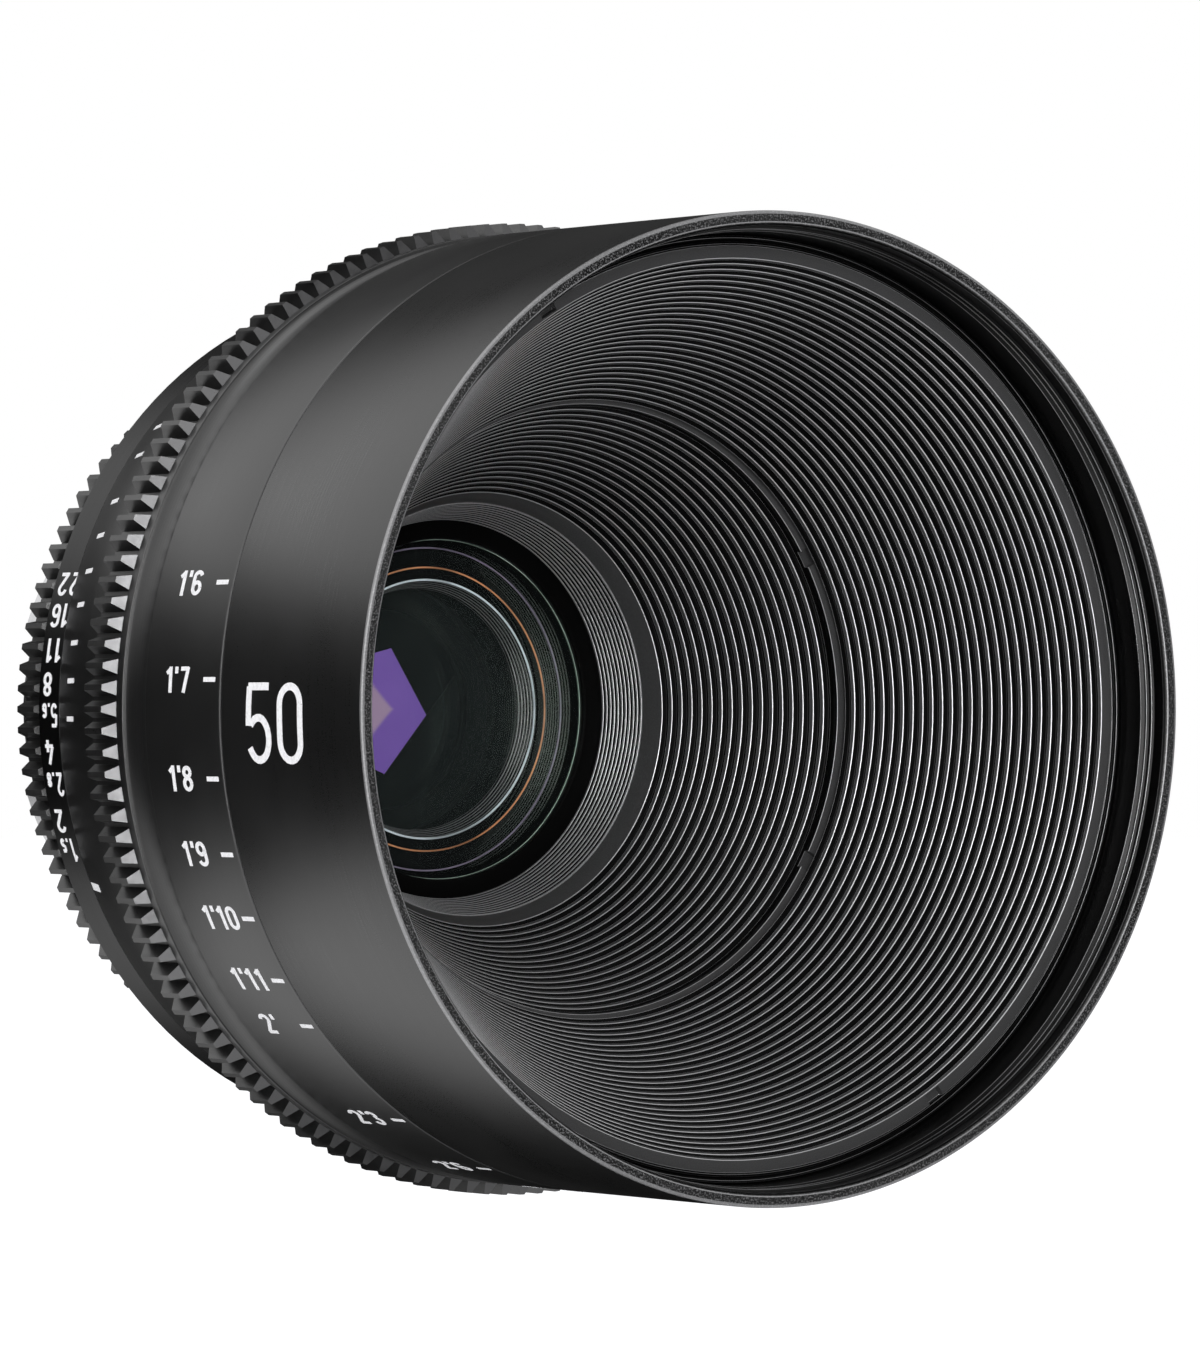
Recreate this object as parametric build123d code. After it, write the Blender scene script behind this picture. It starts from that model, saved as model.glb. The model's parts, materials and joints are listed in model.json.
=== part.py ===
from build123d import *
import os
from math import asin, atan2, cos, degrees, hypot, radians, sin, sqrt, tan

# Cinema prime lens with a positive-lock camera mount, in millimetres.
# The lens axis lies along Y, the front looks towards -Y, and +Z is up.
# The origin is the centre of the mount's flange seat.
# Depths run backwards along the axis from the front rim, and every radius is from the axis.
# The pieces stand as they do with the focus near its close end and the iris half closed.

# Whole lens
barrel_radius = 57.0
running_fit = 0.05
seam_gap = 0.3
overrun = 1.0

# Front barrel: the fixed hood with its filter bore
front_barrel_length = 30.0
rim_width = 1.1
rim_bevel = 0.5
filter_bore_wall = 1.7
filter_bore_depth = 3.4
hood_wall = 2.2
hood_depth = 8.4
baffle_seat_wall = 3.6
baffle_ledge_width = 2.0

# Front baffle: the ribbed cone screwed into the hood
front_baffle_set_back = 0.4
front_baffle_flange = 2.6
front_baffle_rim = 1.5
front_baffle_reach = 9.1
front_baffle_throat = 36.7
baffle_wall = 1.2
front_rib_count = 26
rib_depth = 0.55
rib_lean_share = 0.7
spanner_notch_width = 2.2
spanner_notch_depth = 0.8
front_notch_angle = 121.0
front_notch_lip = 0.3

# Main barrel: the fixed sleeve that carries everything
sleeve_wall = 2.5
sleeve_front_overlap = 10.0
sleeve_seat_wall = 2.0
sleeve_step_margin = 0.6
sleeve_step_wall = 1.8
sleeve_tail_wall = 2.0

# Focus ring
focus_ring_wall = 3.0
focus_scale_length = 16.6
scallop_length = 5.3
scallop_depth = 1.0
gear_flange_width = 1.4
ring_edge_bevel = 0.3

# Gears, both of 0.8 module
gear_module = 0.8
gear_width = 6.0
gear_flank_angle = 20.0
gear_root_modules_share = 1.25
gear_end_bevel = 1.0
gear_bevel_foot = 0.15
gear_rim_wall = 1.0
focus_gear_rise = 1.4

# Focus travel: the turn of the ring that carries the lens group 7.14 mm
focus_lead_per_turn = 14.28
focus_turn_near = 14.7
focus_turn_far = 165.3
follower_count = 3
follower_radius = 1.2
follower_play = 0.3
follower_set_back = 5.2
follower_root_wall = 2.0
groove_depth = 1.6
groove_end_play = 0.25

# Index ring
index_ring_length = 15.9
index_ring_step = 1.6
index_ring_fall = 3.5
index_ring_rear_wall = 1.4

# Iris ring
iris_scale_length = 14.9
iris_band_length = 5.0
iris_ring_step = 0.3
iris_scale_fall = 6.0
iris_relief_width = 1.0
iris_ring_wall = 1.25
journal_wall = 1.7

# Rear barrel
rear_spigot_length = 7.0
rear_drum_step = 1.5
rear_drum_length = 3.2
rear_barrel_length = 18.4
rear_taper_fall = 7.4
rear_end_fall = 8.8
rear_end_bevel = 1.7
rear_web = 2.3
rear_wall = 2.6
rear_throat_step = 1.4
rear_clearance = 9.4
tail_clearance = 0.7

# Camera mount
mount_spigot_radius = 27.0
mount_spigot_length = 9.0
mount_spigot_wall = 4.4
mount_disc_width = 2.0
mount_tab_width = 4.0
mount_tab_thickness = 3.0
mount_tab_count = 4
mount_tab_angle = 52.0
first_tab_angle = 45.0
mount_bevel = 0.6
mount_notch_width = 3.0
mount_notch_depth = 1.8
shim_thickness = 0.3
mount_screw_from_edge = 2.6
mount_screw_radius = 1.25
mount_screw_head = 2.2

# Set screws that lock the rear barrel in the main barrel
barrel_screw_count = 3
barrel_screw_radius = 1.5
barrel_screw_length = 4.0
barrel_screw_from_end = 3.6
socket_share = 0.45

# Focus carriage: the tube that slides and holds all the glass
carriage_lead_in = 3.0
carriage_drum_length = 21.5
carriage_web = 2.5
carriage_wall = 2.6
carriage_tail_wall = 2.0

# Inner baffle: the ribbed cone that moves with the glass
inner_baffle_clearance = 0.3
inner_baffle_step = 0.5
inner_waist_length = 2.6
inner_waist_rise = 1.2
inner_rib_count = 17
inner_lip_width = 0.8
inner_flange_length = 3.8
inner_flange_width = 3.0
inner_notch_angle = 30.0

# Front element retainer: the finely ribbed screw ring
retainer_front_reach = 3.8
retainer_rib_length = 6.3
retainer_lip_step = 2.2
retainer_taper = 2.0
retainer_wall = 2.0
retainer_grip = 0.45
retainer_rib_count = 11
fine_rib_depth = 0.3
baffle_overlap = 0.1

# Lens elements: thickness on the axis, surface radii, and the rim left outside each clear surface
front_glass_radius = 21.25
front_glass_thickness = 5.5
front_glass_curve = 60.0
front_glass_rim = 0.65
front_glass_rear_curve = 200.0
front_glass_rear_rim = 1.75
front_air_gap = 0.9
doublet_radius = 18.5
second_thickness = 5.0
second_curve = 45.0
second_rim_width = 1.1
third_thickness = 1.5
third_curve = 45.0
third_rim_width = 4.0
rear_glass_radius = 16.5
rear_glass_rim = 1.0
fourth_thickness = 2.0
fourth_curve = 22.0
fourth_rim_width = 3.0
fifth_thickness = 7.0
fifth_curve = 32.0
sixth_air_gap = 0.6
sixth_thickness = 6.9
sixth_curve = 150.0
sixth_rear_curve = 40.0
seventh_air_gap = 1.0
seventh_thickness = 4.0
seventh_curve = 80.0
seventh_rear_curve = 300.0
seventh_rim_width = 1.5

# Cells that hold the glass
cell_ledge = 1.0
doublet_ring_width = 1.3
rear_cell_ledge = 3.3
rear_cell_seat = 6.4
rear_cell_wall = 3.1
cell_bore_rib_count = 8
rear_retainer_width = 1.5

# Iris: five leaves in a housing, turned by a slotted ring
leaf_count = 5
iris_stop_radius = 12.5
leaf_overlap = 0.25
leaf_back_radius = 24.5
leaf_pivot_from_wall = 4.0
leaf_pivot_angle = 55.0
leaf_turn = 26.3
leaf_lever = 6.0
leaf_lever_angle = -70.0
leaf_thickness = 0.18
leaf_pitch = 0.3
leaf_gap = 0.15
leaf_ear_radius = 1.8
leaf_ear_length = 6.0
leaf_ear_root_angle = 45.0
stud_radius = 0.7
stud_play = 0.1
stud_end_gap = 0.3
iris_turn_open = 19.0
iris_turn_close = 17.0
housing_plate = 1.5
housing_wall = 1.5
cam_ring_thickness = 1.5
cam_ring_width = 6.95
cover_thickness = 1.0
cover_lip = 1.0
slot_points = 9
fork_prong = 2.1
fork_end_gap = 0.6
fork_root_gap = 0.4

# Drive bar between the iris ring and the slotted ring
bar_space = 4.3
bar_width = 4.0
bar_play = 0.15
bar_inner_gap = 0.7
bar_outer_gap = 0.4
bar_tail = 2.5
bar_boss_width = 8.0
bar_boss_length = 5.0
bar_boss_set_back = 6.0
bar_screw_spacing = 4.4
bar_screw_radius = 0.9
bar_screw_head = 1.6
bar_screw_grip = 1.6
window_play = 0.3

# Focus and iris travel that follow
focus_per_degree = focus_lead_per_turn / 360.0
near_travel = focus_turn_near * focus_per_degree
far_travel = focus_turn_far * focus_per_degree
iris_range = iris_turn_open + iris_turn_close
leaf_rest_turn = leaf_turn * iris_turn_open / iris_range

# Depths of the outside, from the front rim back to the flange seat
focus_front = front_barrel_length + seam_gap
focus_gear_front = focus_front + focus_scale_length + scallop_length + gear_flange_width
focus_rear = focus_gear_front + gear_width
index_front = focus_rear + seam_gap
index_rear = index_front + index_ring_length
iris_front = index_rear + seam_gap
iris_gear_front = iris_front + iris_scale_length + iris_relief_width
iris_rear = iris_gear_front + gear_width
drum_front = iris_rear + seam_gap
shim_front = drum_front + rear_barrel_length
mount_front = shim_front + shim_thickness
front_to_flange = mount_front + mount_tab_thickness
web_front = shim_front - rear_web


def gear_tip(teeth):
    """Outside radius of a gear with this many teeth."""
    return gear_module * (teeth + 2) / 2


def gear_root(teeth):
    """Radius at the foot of its teeth."""
    return gear_module * (teeth / 2 - gear_root_modules_share)


def teeth_for(tip_radius):
    """Number of teeth that brings a gear nearest to an outside radius."""
    return round(2 * tip_radius / gear_module) - 2


# Radii of the outside and of the sleeves, from the barrel inwards
hood_bore = barrel_radius - hood_wall
baffle_seat = barrel_radius - baffle_seat_wall
front_baffle_mouth = baffle_seat - front_baffle_rim
sleeve_radius = barrel_radius - focus_ring_wall
sleeve_bore = sleeve_radius - sleeve_wall
sleeve_seat = barrel_radius - sleeve_seat_wall
focus_bore = sleeve_radius + running_fit
focus_teeth = teeth_for(barrel_radius + focus_gear_rise)
focus_gear_seat = gear_root(focus_teeth) - gear_rim_wall
index_front_radius = barrel_radius - index_ring_step
index_rear_radius = index_front_radius - index_ring_fall
sleeve_tail_radius = index_rear_radius - index_ring_rear_wall
sleeve_tail_bore = sleeve_tail_radius - sleeve_tail_wall
iris_front_radius = index_rear_radius - iris_ring_step
iris_rear_radius = iris_front_radius - iris_scale_fall
iris_teeth = teeth_for(iris_rear_radius)
iris_gear_seat = gear_root(iris_teeth) - gear_rim_wall
iris_bore = iris_gear_seat - iris_ring_wall
journal_radius = iris_bore - running_fit
journal_bore = journal_radius - journal_wall
rear_drum_radius = journal_radius + rear_drum_step
rear_taper_radius = rear_drum_radius - rear_taper_fall
rear_end_radius = rear_drum_radius - rear_end_fall
rear_cone_bore = rear_taper_radius - rear_wall
mount_bore_radius = mount_spigot_radius - mount_spigot_wall
mount_disc_radius = mount_spigot_radius + mount_disc_width
mount_tab_radius = mount_disc_radius + mount_tab_width
mount_screw_circle = mount_tab_radius - mount_screw_from_edge
rear_throat_radius = mount_bore_radius + rear_throat_step

# Radii of the carriage and what it holds
carriage_radius = sleeve_bore - running_fit
carriage_bore = carriage_radius - carriage_wall
carriage_tail_radius = journal_bore - bar_space
carriage_tail_bore = carriage_tail_radius - carriage_tail_wall
housing_bore = carriage_tail_bore - housing_wall
cam_ring_outer = housing_bore - running_fit
cam_ring_inner = cam_ring_outer - cam_ring_width
cover_inner = cam_ring_inner - cover_lip
leaf_pivot_circle = housing_bore - leaf_pivot_from_wall
leaf_ear_root_circle = leaf_pivot_circle - leaf_ear_length
leaf_chord = iris_stop_radius + leaf_overlap
rear_small_bore = carriage_tail_radius + tail_clearance
bar_inner = carriage_tail_radius + bar_inner_gap
bar_outer = journal_bore - bar_outer_gap
fork_radius = journal_bore - fork_end_gap
front_glass_clear = front_glass_radius - front_glass_rim
front_glass_rear_clear = front_glass_radius - front_glass_rear_rim
retainer_lip_radius = front_glass_radius - retainer_grip
retainer_throat = retainer_lip_radius + retainer_lip_step
retainer_mouth = retainer_throat + retainer_taper
retainer_radius = retainer_mouth + retainer_wall
inner_baffle_throat = retainer_mouth + baffle_overlap
inner_baffle_waist = inner_baffle_throat + inner_waist_rise
inner_baffle_mouth = front_baffle_throat - inner_baffle_step
inner_flange_radius = retainer_radius + inner_flange_width
second_clear = doublet_radius - second_rim_width
third_clear = doublet_radius - third_rim_width
fourth_clear = rear_glass_radius - fourth_rim_width
rear_clear = rear_glass_radius - rear_glass_rim
seventh_clear = rear_glass_radius - seventh_rim_width
rear_cell_radius = rear_glass_radius + rear_cell_wall


def sag(curve, radius):
    """How far a spherical surface has fallen back at a radius; a curve of 0 is flat."""
    return curve - sqrt(curve * curve - radius * radius) if curve > 0 else 0


# Depths inside, from the rear web forwards to the front element
carriage_rear = web_front - rear_clearance - far_travel
housing_rear = carriage_rear - rear_cell_seat
cover_front = housing_rear - cover_thickness
cam_rear = cover_front - leaf_gap
cam_front = cam_rear - cam_ring_thickness
leaf_front = cam_front - leaf_count * leaf_pitch
housing_front = leaf_front - leaf_gap - housing_plate
third_rim = housing_front - doublet_ring_width
third_vertex = third_rim - sag(third_curve, third_clear)
doublet_joint = third_vertex - third_thickness
second_vertex = doublet_joint - second_thickness
second_rim = second_vertex + sag(second_curve, second_clear)
front_glass_rear_vertex = second_vertex - front_air_gap
front_glass_rear_rim_depth = front_glass_rear_vertex + sag(front_glass_rear_curve, front_glass_rear_clear)
front_glass_vertex = front_glass_rear_vertex - front_glass_thickness
front_glass_rim_depth = front_glass_vertex + sag(front_glass_curve, front_glass_clear)
inner_baffle_rear = front_glass_vertex - retainer_front_reach
retainer_rib_end = inner_baffle_rear + retainer_rib_length
inner_waist_depth = inner_baffle_rear - inner_waist_length
bar_boss_front = iris_front + bar_boss_set_back
bar_rear = cam_rear + far_travel + bar_tail

# Depths behind the iris
fourth_rim = housing_rear + rear_cell_ledge
fourth_vertex = fourth_rim + sag(fourth_curve, fourth_clear)
rear_doublet_joint = fourth_vertex + fourth_thickness
fifth_vertex = rear_doublet_joint + fifth_thickness
fifth_rim = fifth_vertex - sag(fifth_curve, rear_clear)
sixth_vertex = fifth_vertex + sixth_air_gap
sixth_rim = sixth_vertex + sag(sixth_curve, rear_clear)
sixth_rear_vertex = sixth_vertex + sixth_thickness
sixth_rear_rim = sixth_rear_vertex - sag(sixth_rear_curve, rear_clear)
seventh_vertex = sixth_rear_vertex + seventh_air_gap
seventh_rim = seventh_vertex + sag(seventh_curve, seventh_clear)
seventh_rear_vertex = seventh_vertex + seventh_thickness
seventh_rear_rim = seventh_rear_vertex - sag(seventh_rear_curve, seventh_clear)
rear_cell_end = seventh_rear_rim + rear_retainer_width

# Depths of the baffles and of the carriage's drum
front_baffle_front = hood_depth - front_baffle_set_back
front_baffle_rear = front_barrel_length + front_baffle_reach
front_baffle_length = front_baffle_rear - front_baffle_front
inner_baffle_front = front_baffle_rear + near_travel + inner_baffle_clearance
follower_depth = focus_front + follower_set_back
carriage_front = follower_depth - carriage_lead_in
carriage_web_rear = carriage_front + carriage_drum_length
carriage_far_rear = carriage_rear + far_travel


def turned(corners):
    """Solid of revolution about the lens axis, from (depth, radius) corners."""
    outline = Polyline(*[(depth - front_to_flange, radius) for depth, radius in corners], close=True)
    return revolve(Plane.YZ * make_face(outline), axis=Axis.Y, revolution_arc=360)


def tube(front, rear, outer, inner):
    """Plain ring between two depths."""
    return turned([(front, inner), (front, outer), (rear, outer), (rear, inner)])


def turned_part(corners, start, end):
    """Part of a solid of revolution, between two angles that turn about +Y from the top."""
    outline = Polyline(*[(depth - front_to_flange, radius) for depth, radius in corners], close=True)
    face = Plane.YZ * make_face(outline)
    return revolve(face, axis=Axis.Y, revolution_arc=end - start).rotate(Axis.Y, start)


def facing(depth):
    """Plane across the axis at a depth, seen from the front: X to the right and Z up."""
    return Plane(origin=(0, depth - front_to_flange, 0), x_dir=(1, 0, 0), z_dir=(0, -1, 0))


def plate(shape, front, rear):
    """Flat shape drawn from the front, as a plate between two depths."""
    return extrude(facing(rear) * shape, amount=rear - front)


def radial(angle, depth):
    """Plane on the axis whose normal points outwards at an angle about +Y from the top."""
    outward = (sin(radians(angle)), 0, cos(radians(angle)))
    return Plane(origin=(0, depth - front_to_flange, 0), x_dir=(0, 1, 0), z_dir=outward)


def radial_pin(angle, depth, radius, inner, outer):
    """Round pin that stands on a radius of the lens."""
    rod = Pos(0, 0, inner) * Cylinder(radius, outer - inner, align=(Align.CENTER, Align.CENTER, Align.MIN))
    return radial(angle, depth) * rod


def ribbed(front, mouth, rear, throat, count, depth):
    """Corners of a ribbed cone: sharp crests on the cone and grooves cut back from it."""
    pitch = (rear - front) / count
    fall = (throat - mouth) / count
    corners = []
    for rib in range(count):
        start = front + rib * pitch
        radius = mouth + rib * fall
        corners.append((start, radius))
        corners.append((start + rib_lean_share * pitch, radius + rib_lean_share * fall + depth))
    corners.append((rear, throat))
    return corners


def lens_element(front, front_curve, front_clear, rear, rear_curve, rear_clear, radius, bends=(1, 1)):
    """Lens element from two vertex depths; a bend of 1 falls back towards the edge, -1 comes forward."""
    rows = []
    for vertex, curve, clear, bend in ((front, front_curve, front_clear, bends[0]),
                                       (rear, rear_curve, rear_clear, bends[1])):
        rows.append([(vertex + bend * sag(curve, share * clear) - front_to_flange, share * clear)
                     for share in (0, 0.5, 1)])
    outline = []
    for (top, middle, edge), curve in zip(rows, (front_curve, rear_curve)):
        outline.append(ThreePointArc(top, middle, edge) if curve > 0 else Line(top, edge))
        outline.append(Line(edge, (edge[0], radius)))
    outline.append(Line((rows[0][2][0], radius), (rows[1][2][0], radius)))
    outline.append(Line(rows[0][0], rows[1][0]))
    return revolve(Plane.YZ * make_face(outline), axis=Axis.Y, revolution_arc=360)


def spanner_notches(angles, front, inner, outer):
    """Cutters for the small notches that a pin spanner turns a ring by."""
    cutters = []
    for angle in angles:
        slot = Pos((inner + outer) / 2, 0) * Rectangle(outer - inner, spanner_notch_width)
        cutters.append(plate(Rot(0, 0, angle) * slot, front - overrun, front + spanner_notch_depth))
    return cutters


# Front barrel
def make_front_barrel():
    filter_bore = barrel_radius - filter_bore_wall
    rear_ledge = hood_depth + front_baffle_flange
    return turned([
        (rim_bevel, barrel_radius),
        (front_barrel_length, barrel_radius),
        (front_barrel_length, sleeve_seat),
        (rear_ledge + baffle_ledge_width, sleeve_seat),
        (rear_ledge, front_baffle_back(rear_ledge) + seam_gap),
        (rear_ledge, baffle_seat),
        (hood_depth, baffle_seat),
        (hood_depth, hood_bore),
        (filter_bore_depth, hood_bore),
        (filter_bore_depth, filter_bore),
        (rim_bevel, filter_bore),
        (0, barrel_radius - rim_width),
        (0, barrel_radius - rim_bevel),
    ])


# Front baffle
def front_baffle_back(depth):
    """Radius of the cone's smooth back at a depth."""
    share = (depth - front_baffle_front) / front_baffle_length
    cone = front_baffle_mouth + share * (front_baffle_throat - front_baffle_mouth)
    return cone + rib_depth + baffle_wall


def make_front_baffle():
    front = front_baffle_front
    flange_rear = hood_depth + front_baffle_flange
    cone = ribbed(front, front_baffle_mouth, front_baffle_rear, front_baffle_throat,
                  front_rib_count, rib_depth)
    body = turned(cone + [
        (front_baffle_rear, front_baffle_back(front_baffle_rear)),
        (flange_rear, front_baffle_back(flange_rear)),
        (flange_rear, baffle_seat),
        (front, baffle_seat),
    ])
    notches = spanner_notches((front_notch_angle, front_notch_angle + 180), front,
                              front_baffle_mouth + front_notch_lip, baffle_seat + overrun)
    return body - notches


# Main barrel
def make_main_barrel():
    step = carriage_web_rear + far_travel + sleeve_step_margin
    body = turned([
        (front_barrel_length - sleeve_front_overlap, sleeve_bore),
        (front_barrel_length - sleeve_front_overlap, sleeve_seat),
        (front_barrel_length, sleeve_seat),
        (front_barrel_length, sleeve_radius),
        (step + sleeve_step_wall, sleeve_radius),
        (step + sleeve_step_wall, sleeve_tail_radius),
        (index_rear, sleeve_tail_radius),
        (index_rear, sleeve_tail_bore),
        (step, sleeve_tail_bore),
        (step, sleeve_bore),
    ])
    cutters = []
    slot_half = follower_radius + follower_play
    slot_front = follower_depth - near_travel
    slot_length = near_travel + far_travel + 2 * slot_half
    for number in range(follower_count):
        angle = 360 * number / follower_count
        slot = SlotOverall(slot_length, 2 * slot_half)
        middle = slot_front - slot_half + slot_length / 2
        block = extrude(radial(angle, middle) * slot, amount=sleeve_radius + overrun)
        cutters.append(block - Pos(0, middle - front_to_flange, 0) * Rot(90, 0, 0)
                       * Cylinder(sleeve_bore - overrun, slot_length + overrun))
    return body - cutters - barrel_screw_holes()


def barrel_screws():
    """Set screws through the main barrel's tail into the rear barrel."""
    depth = index_rear - barrel_screw_from_end
    inner = sleeve_tail_radius - barrel_screw_length
    socket = barrel_screw_radius * socket_share
    screws = []
    for number in range(barrel_screw_count):
        angle = 360 * (number + 0.5) / barrel_screw_count
        outer = sleeve_tail_radius - seam_gap
        screw = radial_pin(angle, depth, barrel_screw_radius, inner, outer)
        hexagon = Pos(0, 0, outer - socket) * RegularPolygon(socket, 6)
        screws.append(screw - radial(angle, depth) * extrude(hexagon, amount=overrun))
    return screws


def barrel_screw_holes():
    """Holes for the set screws."""
    depth = index_rear - barrel_screw_from_end
    inner = sleeve_tail_radius - barrel_screw_length
    holes = []
    for number in range(barrel_screw_count):
        angle = 360 * (number + 0.5) / barrel_screw_count
        holes.append(radial_pin(angle, depth, barrel_screw_radius, inner, sleeve_tail_radius + overrun))
    return holes


# Gears
def make_gear(teeth, front, bore):
    pitch_radius = gear_module * teeth / 2
    tip = gear_tip(teeth)
    root = gear_root(teeth)
    half_tooth = gear_module * radians(90)
    half_tip = half_tooth / 2 - (tip - pitch_radius) * tan(radians(gear_flank_angle))
    half_root = half_tooth / 2 + (pitch_radius - root) * tan(radians(gear_flank_angle))
    corners = []
    for tooth in range(teeth):
        middle = 360 * tooth / teeth
        for radius, offset in ((root, -half_root), (tip, -half_tip), (tip, half_tip), (root, half_root)):
            angle = radians(middle) + offset / radius
            corners.append((radius * cos(angle), radius * sin(angle)))
    outline = make_face(Polyline(*corners, close=True))
    toothed = plate(outline - Circle(bore), front, front + gear_width)
    blank_sides = []
    for depth, apothem in ((front, root + gear_bevel_foot), (front + gear_end_bevel, tip),
                           (front + gear_width - gear_end_bevel, tip),
                           (front + gear_width, root + gear_bevel_foot)):
        side = RegularPolygon(apothem, teeth, major_radius=False, rotation=180 / teeth)
        blank_sides.append(facing(depth) * side)
    return toothed & loft(blank_sides, ruled=True)


# Focus ring
def make_focus_ring():
    scale_end = focus_front + focus_scale_length
    scallop_end = scale_end + scallop_length
    scallop_middle = ((scale_end + scallop_end) / 2 - front_to_flange, barrel_radius - scallop_depth)
    outline = [
        Polyline((focus_front - front_to_flange, focus_bore),
                 (focus_front - front_to_flange, barrel_radius - ring_edge_bevel),
                 (focus_front + ring_edge_bevel - front_to_flange, barrel_radius),
                 (scale_end - front_to_flange, barrel_radius)),
        ThreePointArc((scale_end - front_to_flange, barrel_radius), scallop_middle,
                      (scallop_end - front_to_flange, barrel_radius)),
        Polyline((scallop_end - front_to_flange, barrel_radius),
                 (focus_gear_front - front_to_flange, barrel_radius),
                 (focus_gear_front - front_to_flange, focus_gear_seat),
                 (focus_rear - front_to_flange, focus_gear_seat),
                 (focus_rear - front_to_flange, focus_bore),
                 (focus_front - front_to_flange, focus_bore)),
    ]
    body = revolve(Plane.YZ * make_face(outline), axis=Axis.Y, revolution_arc=360)
    return body - [cam_groove(360 * number / follower_count) for number in range(follower_count)]


def cam_groove(angle):
    """Helical groove in the ring's bore that one follower runs in."""
    half = follower_radius + follower_play
    reach = sleeve_radius - overrun
    depth = focus_bore + groove_depth - reach
    turn = focus_turn_near + focus_turn_far
    play = degrees(groove_end_play / focus_bore)
    near_angle = angle + focus_turn_near + play
    front = follower_depth - near_travel - play * focus_per_degree
    travel = (turn + 2 * play) * focus_per_degree
    middle = reach + depth / 2
    path = Helix(focus_lead_per_turn, travel, middle, lefthand=True)
    start = Plane(origin=path @ 0, x_dir=(1, 0, 0), z_dir=path % 0)
    channel = sweep(start * Rectangle(depth, 2 * half), path=path, is_frenet=True)
    near = radians(near_angle)
    seat = Plane(origin=(0, front - front_to_flange, 0), x_dir=(sin(near), 0, cos(near)), z_dir=(0, 1, 0))
    ends = [radial_pin(near_angle, front, half, reach, reach + depth),
            radial_pin(near_angle - turn - 2 * play, front + travel, half, reach, reach + depth)]
    return seat * channel + ends


# Index ring
def make_index_ring():
    step = carriage_web_rear + far_travel + sleeve_step_margin + sleeve_step_wall
    return turned([
        (index_front, sleeve_radius),
        (index_front, index_front_radius),
        (index_rear, index_rear_radius),
        (index_rear, sleeve_tail_radius),
        (step, sleeve_tail_radius),
        (step, sleeve_radius),
    ])


# Iris ring
def make_iris_ring():
    scale_end = iris_front + iris_scale_length
    relief = iris_gear_seat + gear_rim_wall / 2
    body = turned([
        (iris_front, iris_bore),
        (iris_front, iris_front_radius - ring_edge_bevel),
        (iris_front + ring_edge_bevel, iris_front_radius),
        (iris_front + iris_band_length, iris_front_radius),
        (scale_end, iris_rear_radius),
        (scale_end, relief),
        (iris_gear_front, relief),
        (iris_gear_front, iris_gear_seat),
        (iris_rear, iris_gear_seat),
        (iris_rear, iris_bore),
    ])
    return body - bar_screw_shapes(overrun)


def bar_screw_places():
    """Angle about the axis and depth of each screw that holds the drive bar."""
    depth = bar_boss_front + bar_boss_length / 2
    swing = degrees(bar_screw_spacing / 2 / journal_radius)
    return [(180 - swing, depth), (180 + swing, depth)]


def iris_cone_radius(depth):
    """Radius of the cone behind the iris scale at a depth."""
    share = (depth - iris_front - iris_band_length) / (iris_scale_length - iris_band_length)
    return iris_front_radius + share * (iris_rear_radius - iris_front_radius)


def bar_screw_shapes(extra):
    """Screw bodies with their heads sunk in the ring's cone; extra opens the hole outwards."""
    shapes = []
    for angle, depth in bar_screw_places():
        seat = iris_cone_radius(depth + bar_screw_head)
        shank = radial_pin(angle, depth, bar_screw_radius, iris_bore - bar_screw_grip, seat)
        head = radial_pin(angle, depth, bar_screw_head, seat - bar_screw_head, seat + extra)
        shapes.append(shank + head)
    return shapes


# Rear barrel
def make_rear_barrel():
    spigot_front = index_rear - rear_spigot_length
    body = turned([
        (spigot_front, journal_bore),
        (spigot_front, sleeve_tail_bore),
        (index_rear, sleeve_tail_bore),
        (index_rear, journal_radius),
        (drum_front, journal_radius),
        (drum_front, rear_drum_radius),
        (drum_front + rear_drum_length, rear_drum_radius),
        (shim_front - rear_end_bevel, rear_taper_radius),
        (shim_front, rear_end_radius),
        (shim_front, rear_throat_radius),
        (web_front, rear_throat_radius),
        (web_front, rear_cone_bore),
        (carriage_far_rear + tail_clearance, rear_small_bore),
        (bar_rear + overrun, rear_small_bore),
        (bar_rear + overrun, journal_bore),
    ])
    boss_swing = degrees(asin((bar_boss_width / 2 + window_play) / journal_bore))
    front = bar_boss_front - window_play
    rear = bar_boss_front + bar_boss_length + window_play
    window = turned_part([(front, journal_bore - overrun), (front, journal_radius + overrun),
                          (rear, journal_radius + overrun), (rear, journal_bore - overrun)],
                         180 - iris_turn_close - boss_swing, 180 + iris_turn_open + boss_swing)
    return body - [window] - barrel_screw_holes() - mount_screw_shapes(0)


# Camera mount
def make_lens_mount():
    tab = Circle(mount_tab_radius) - Circle(mount_disc_radius - overrun)
    ears = Sketch()
    for number in range(mount_tab_count):
        wedge = Pos(mount_tab_radius, 0) * Rectangle(2 * mount_tab_radius, tab_chord())
        ears += Rot(0, 0, first_tab_angle + 360 * number / mount_tab_count) * (wedge & tab)
    notch_place = mount_tab_radius - mount_notch_depth / 2
    notch = Pos(notch_place, 0) * Rectangle(mount_notch_depth, mount_notch_width)
    outline = Circle(mount_disc_radius) + ears - Rot(0, 0, first_tab_angle) * notch - Circle(mount_bore_radius)
    spigot_end = front_to_flange + mount_spigot_length
    spigot = turned([
        (mount_front, mount_bore_radius),
        (mount_front, mount_spigot_radius),
        (spigot_end - mount_bevel, mount_spigot_radius),
        (spigot_end, mount_spigot_radius - mount_bevel),
        (spigot_end, mount_bore_radius),
    ])
    return plate(outline, mount_front, front_to_flange) + spigot - mount_screw_shapes(overrun)


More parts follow.
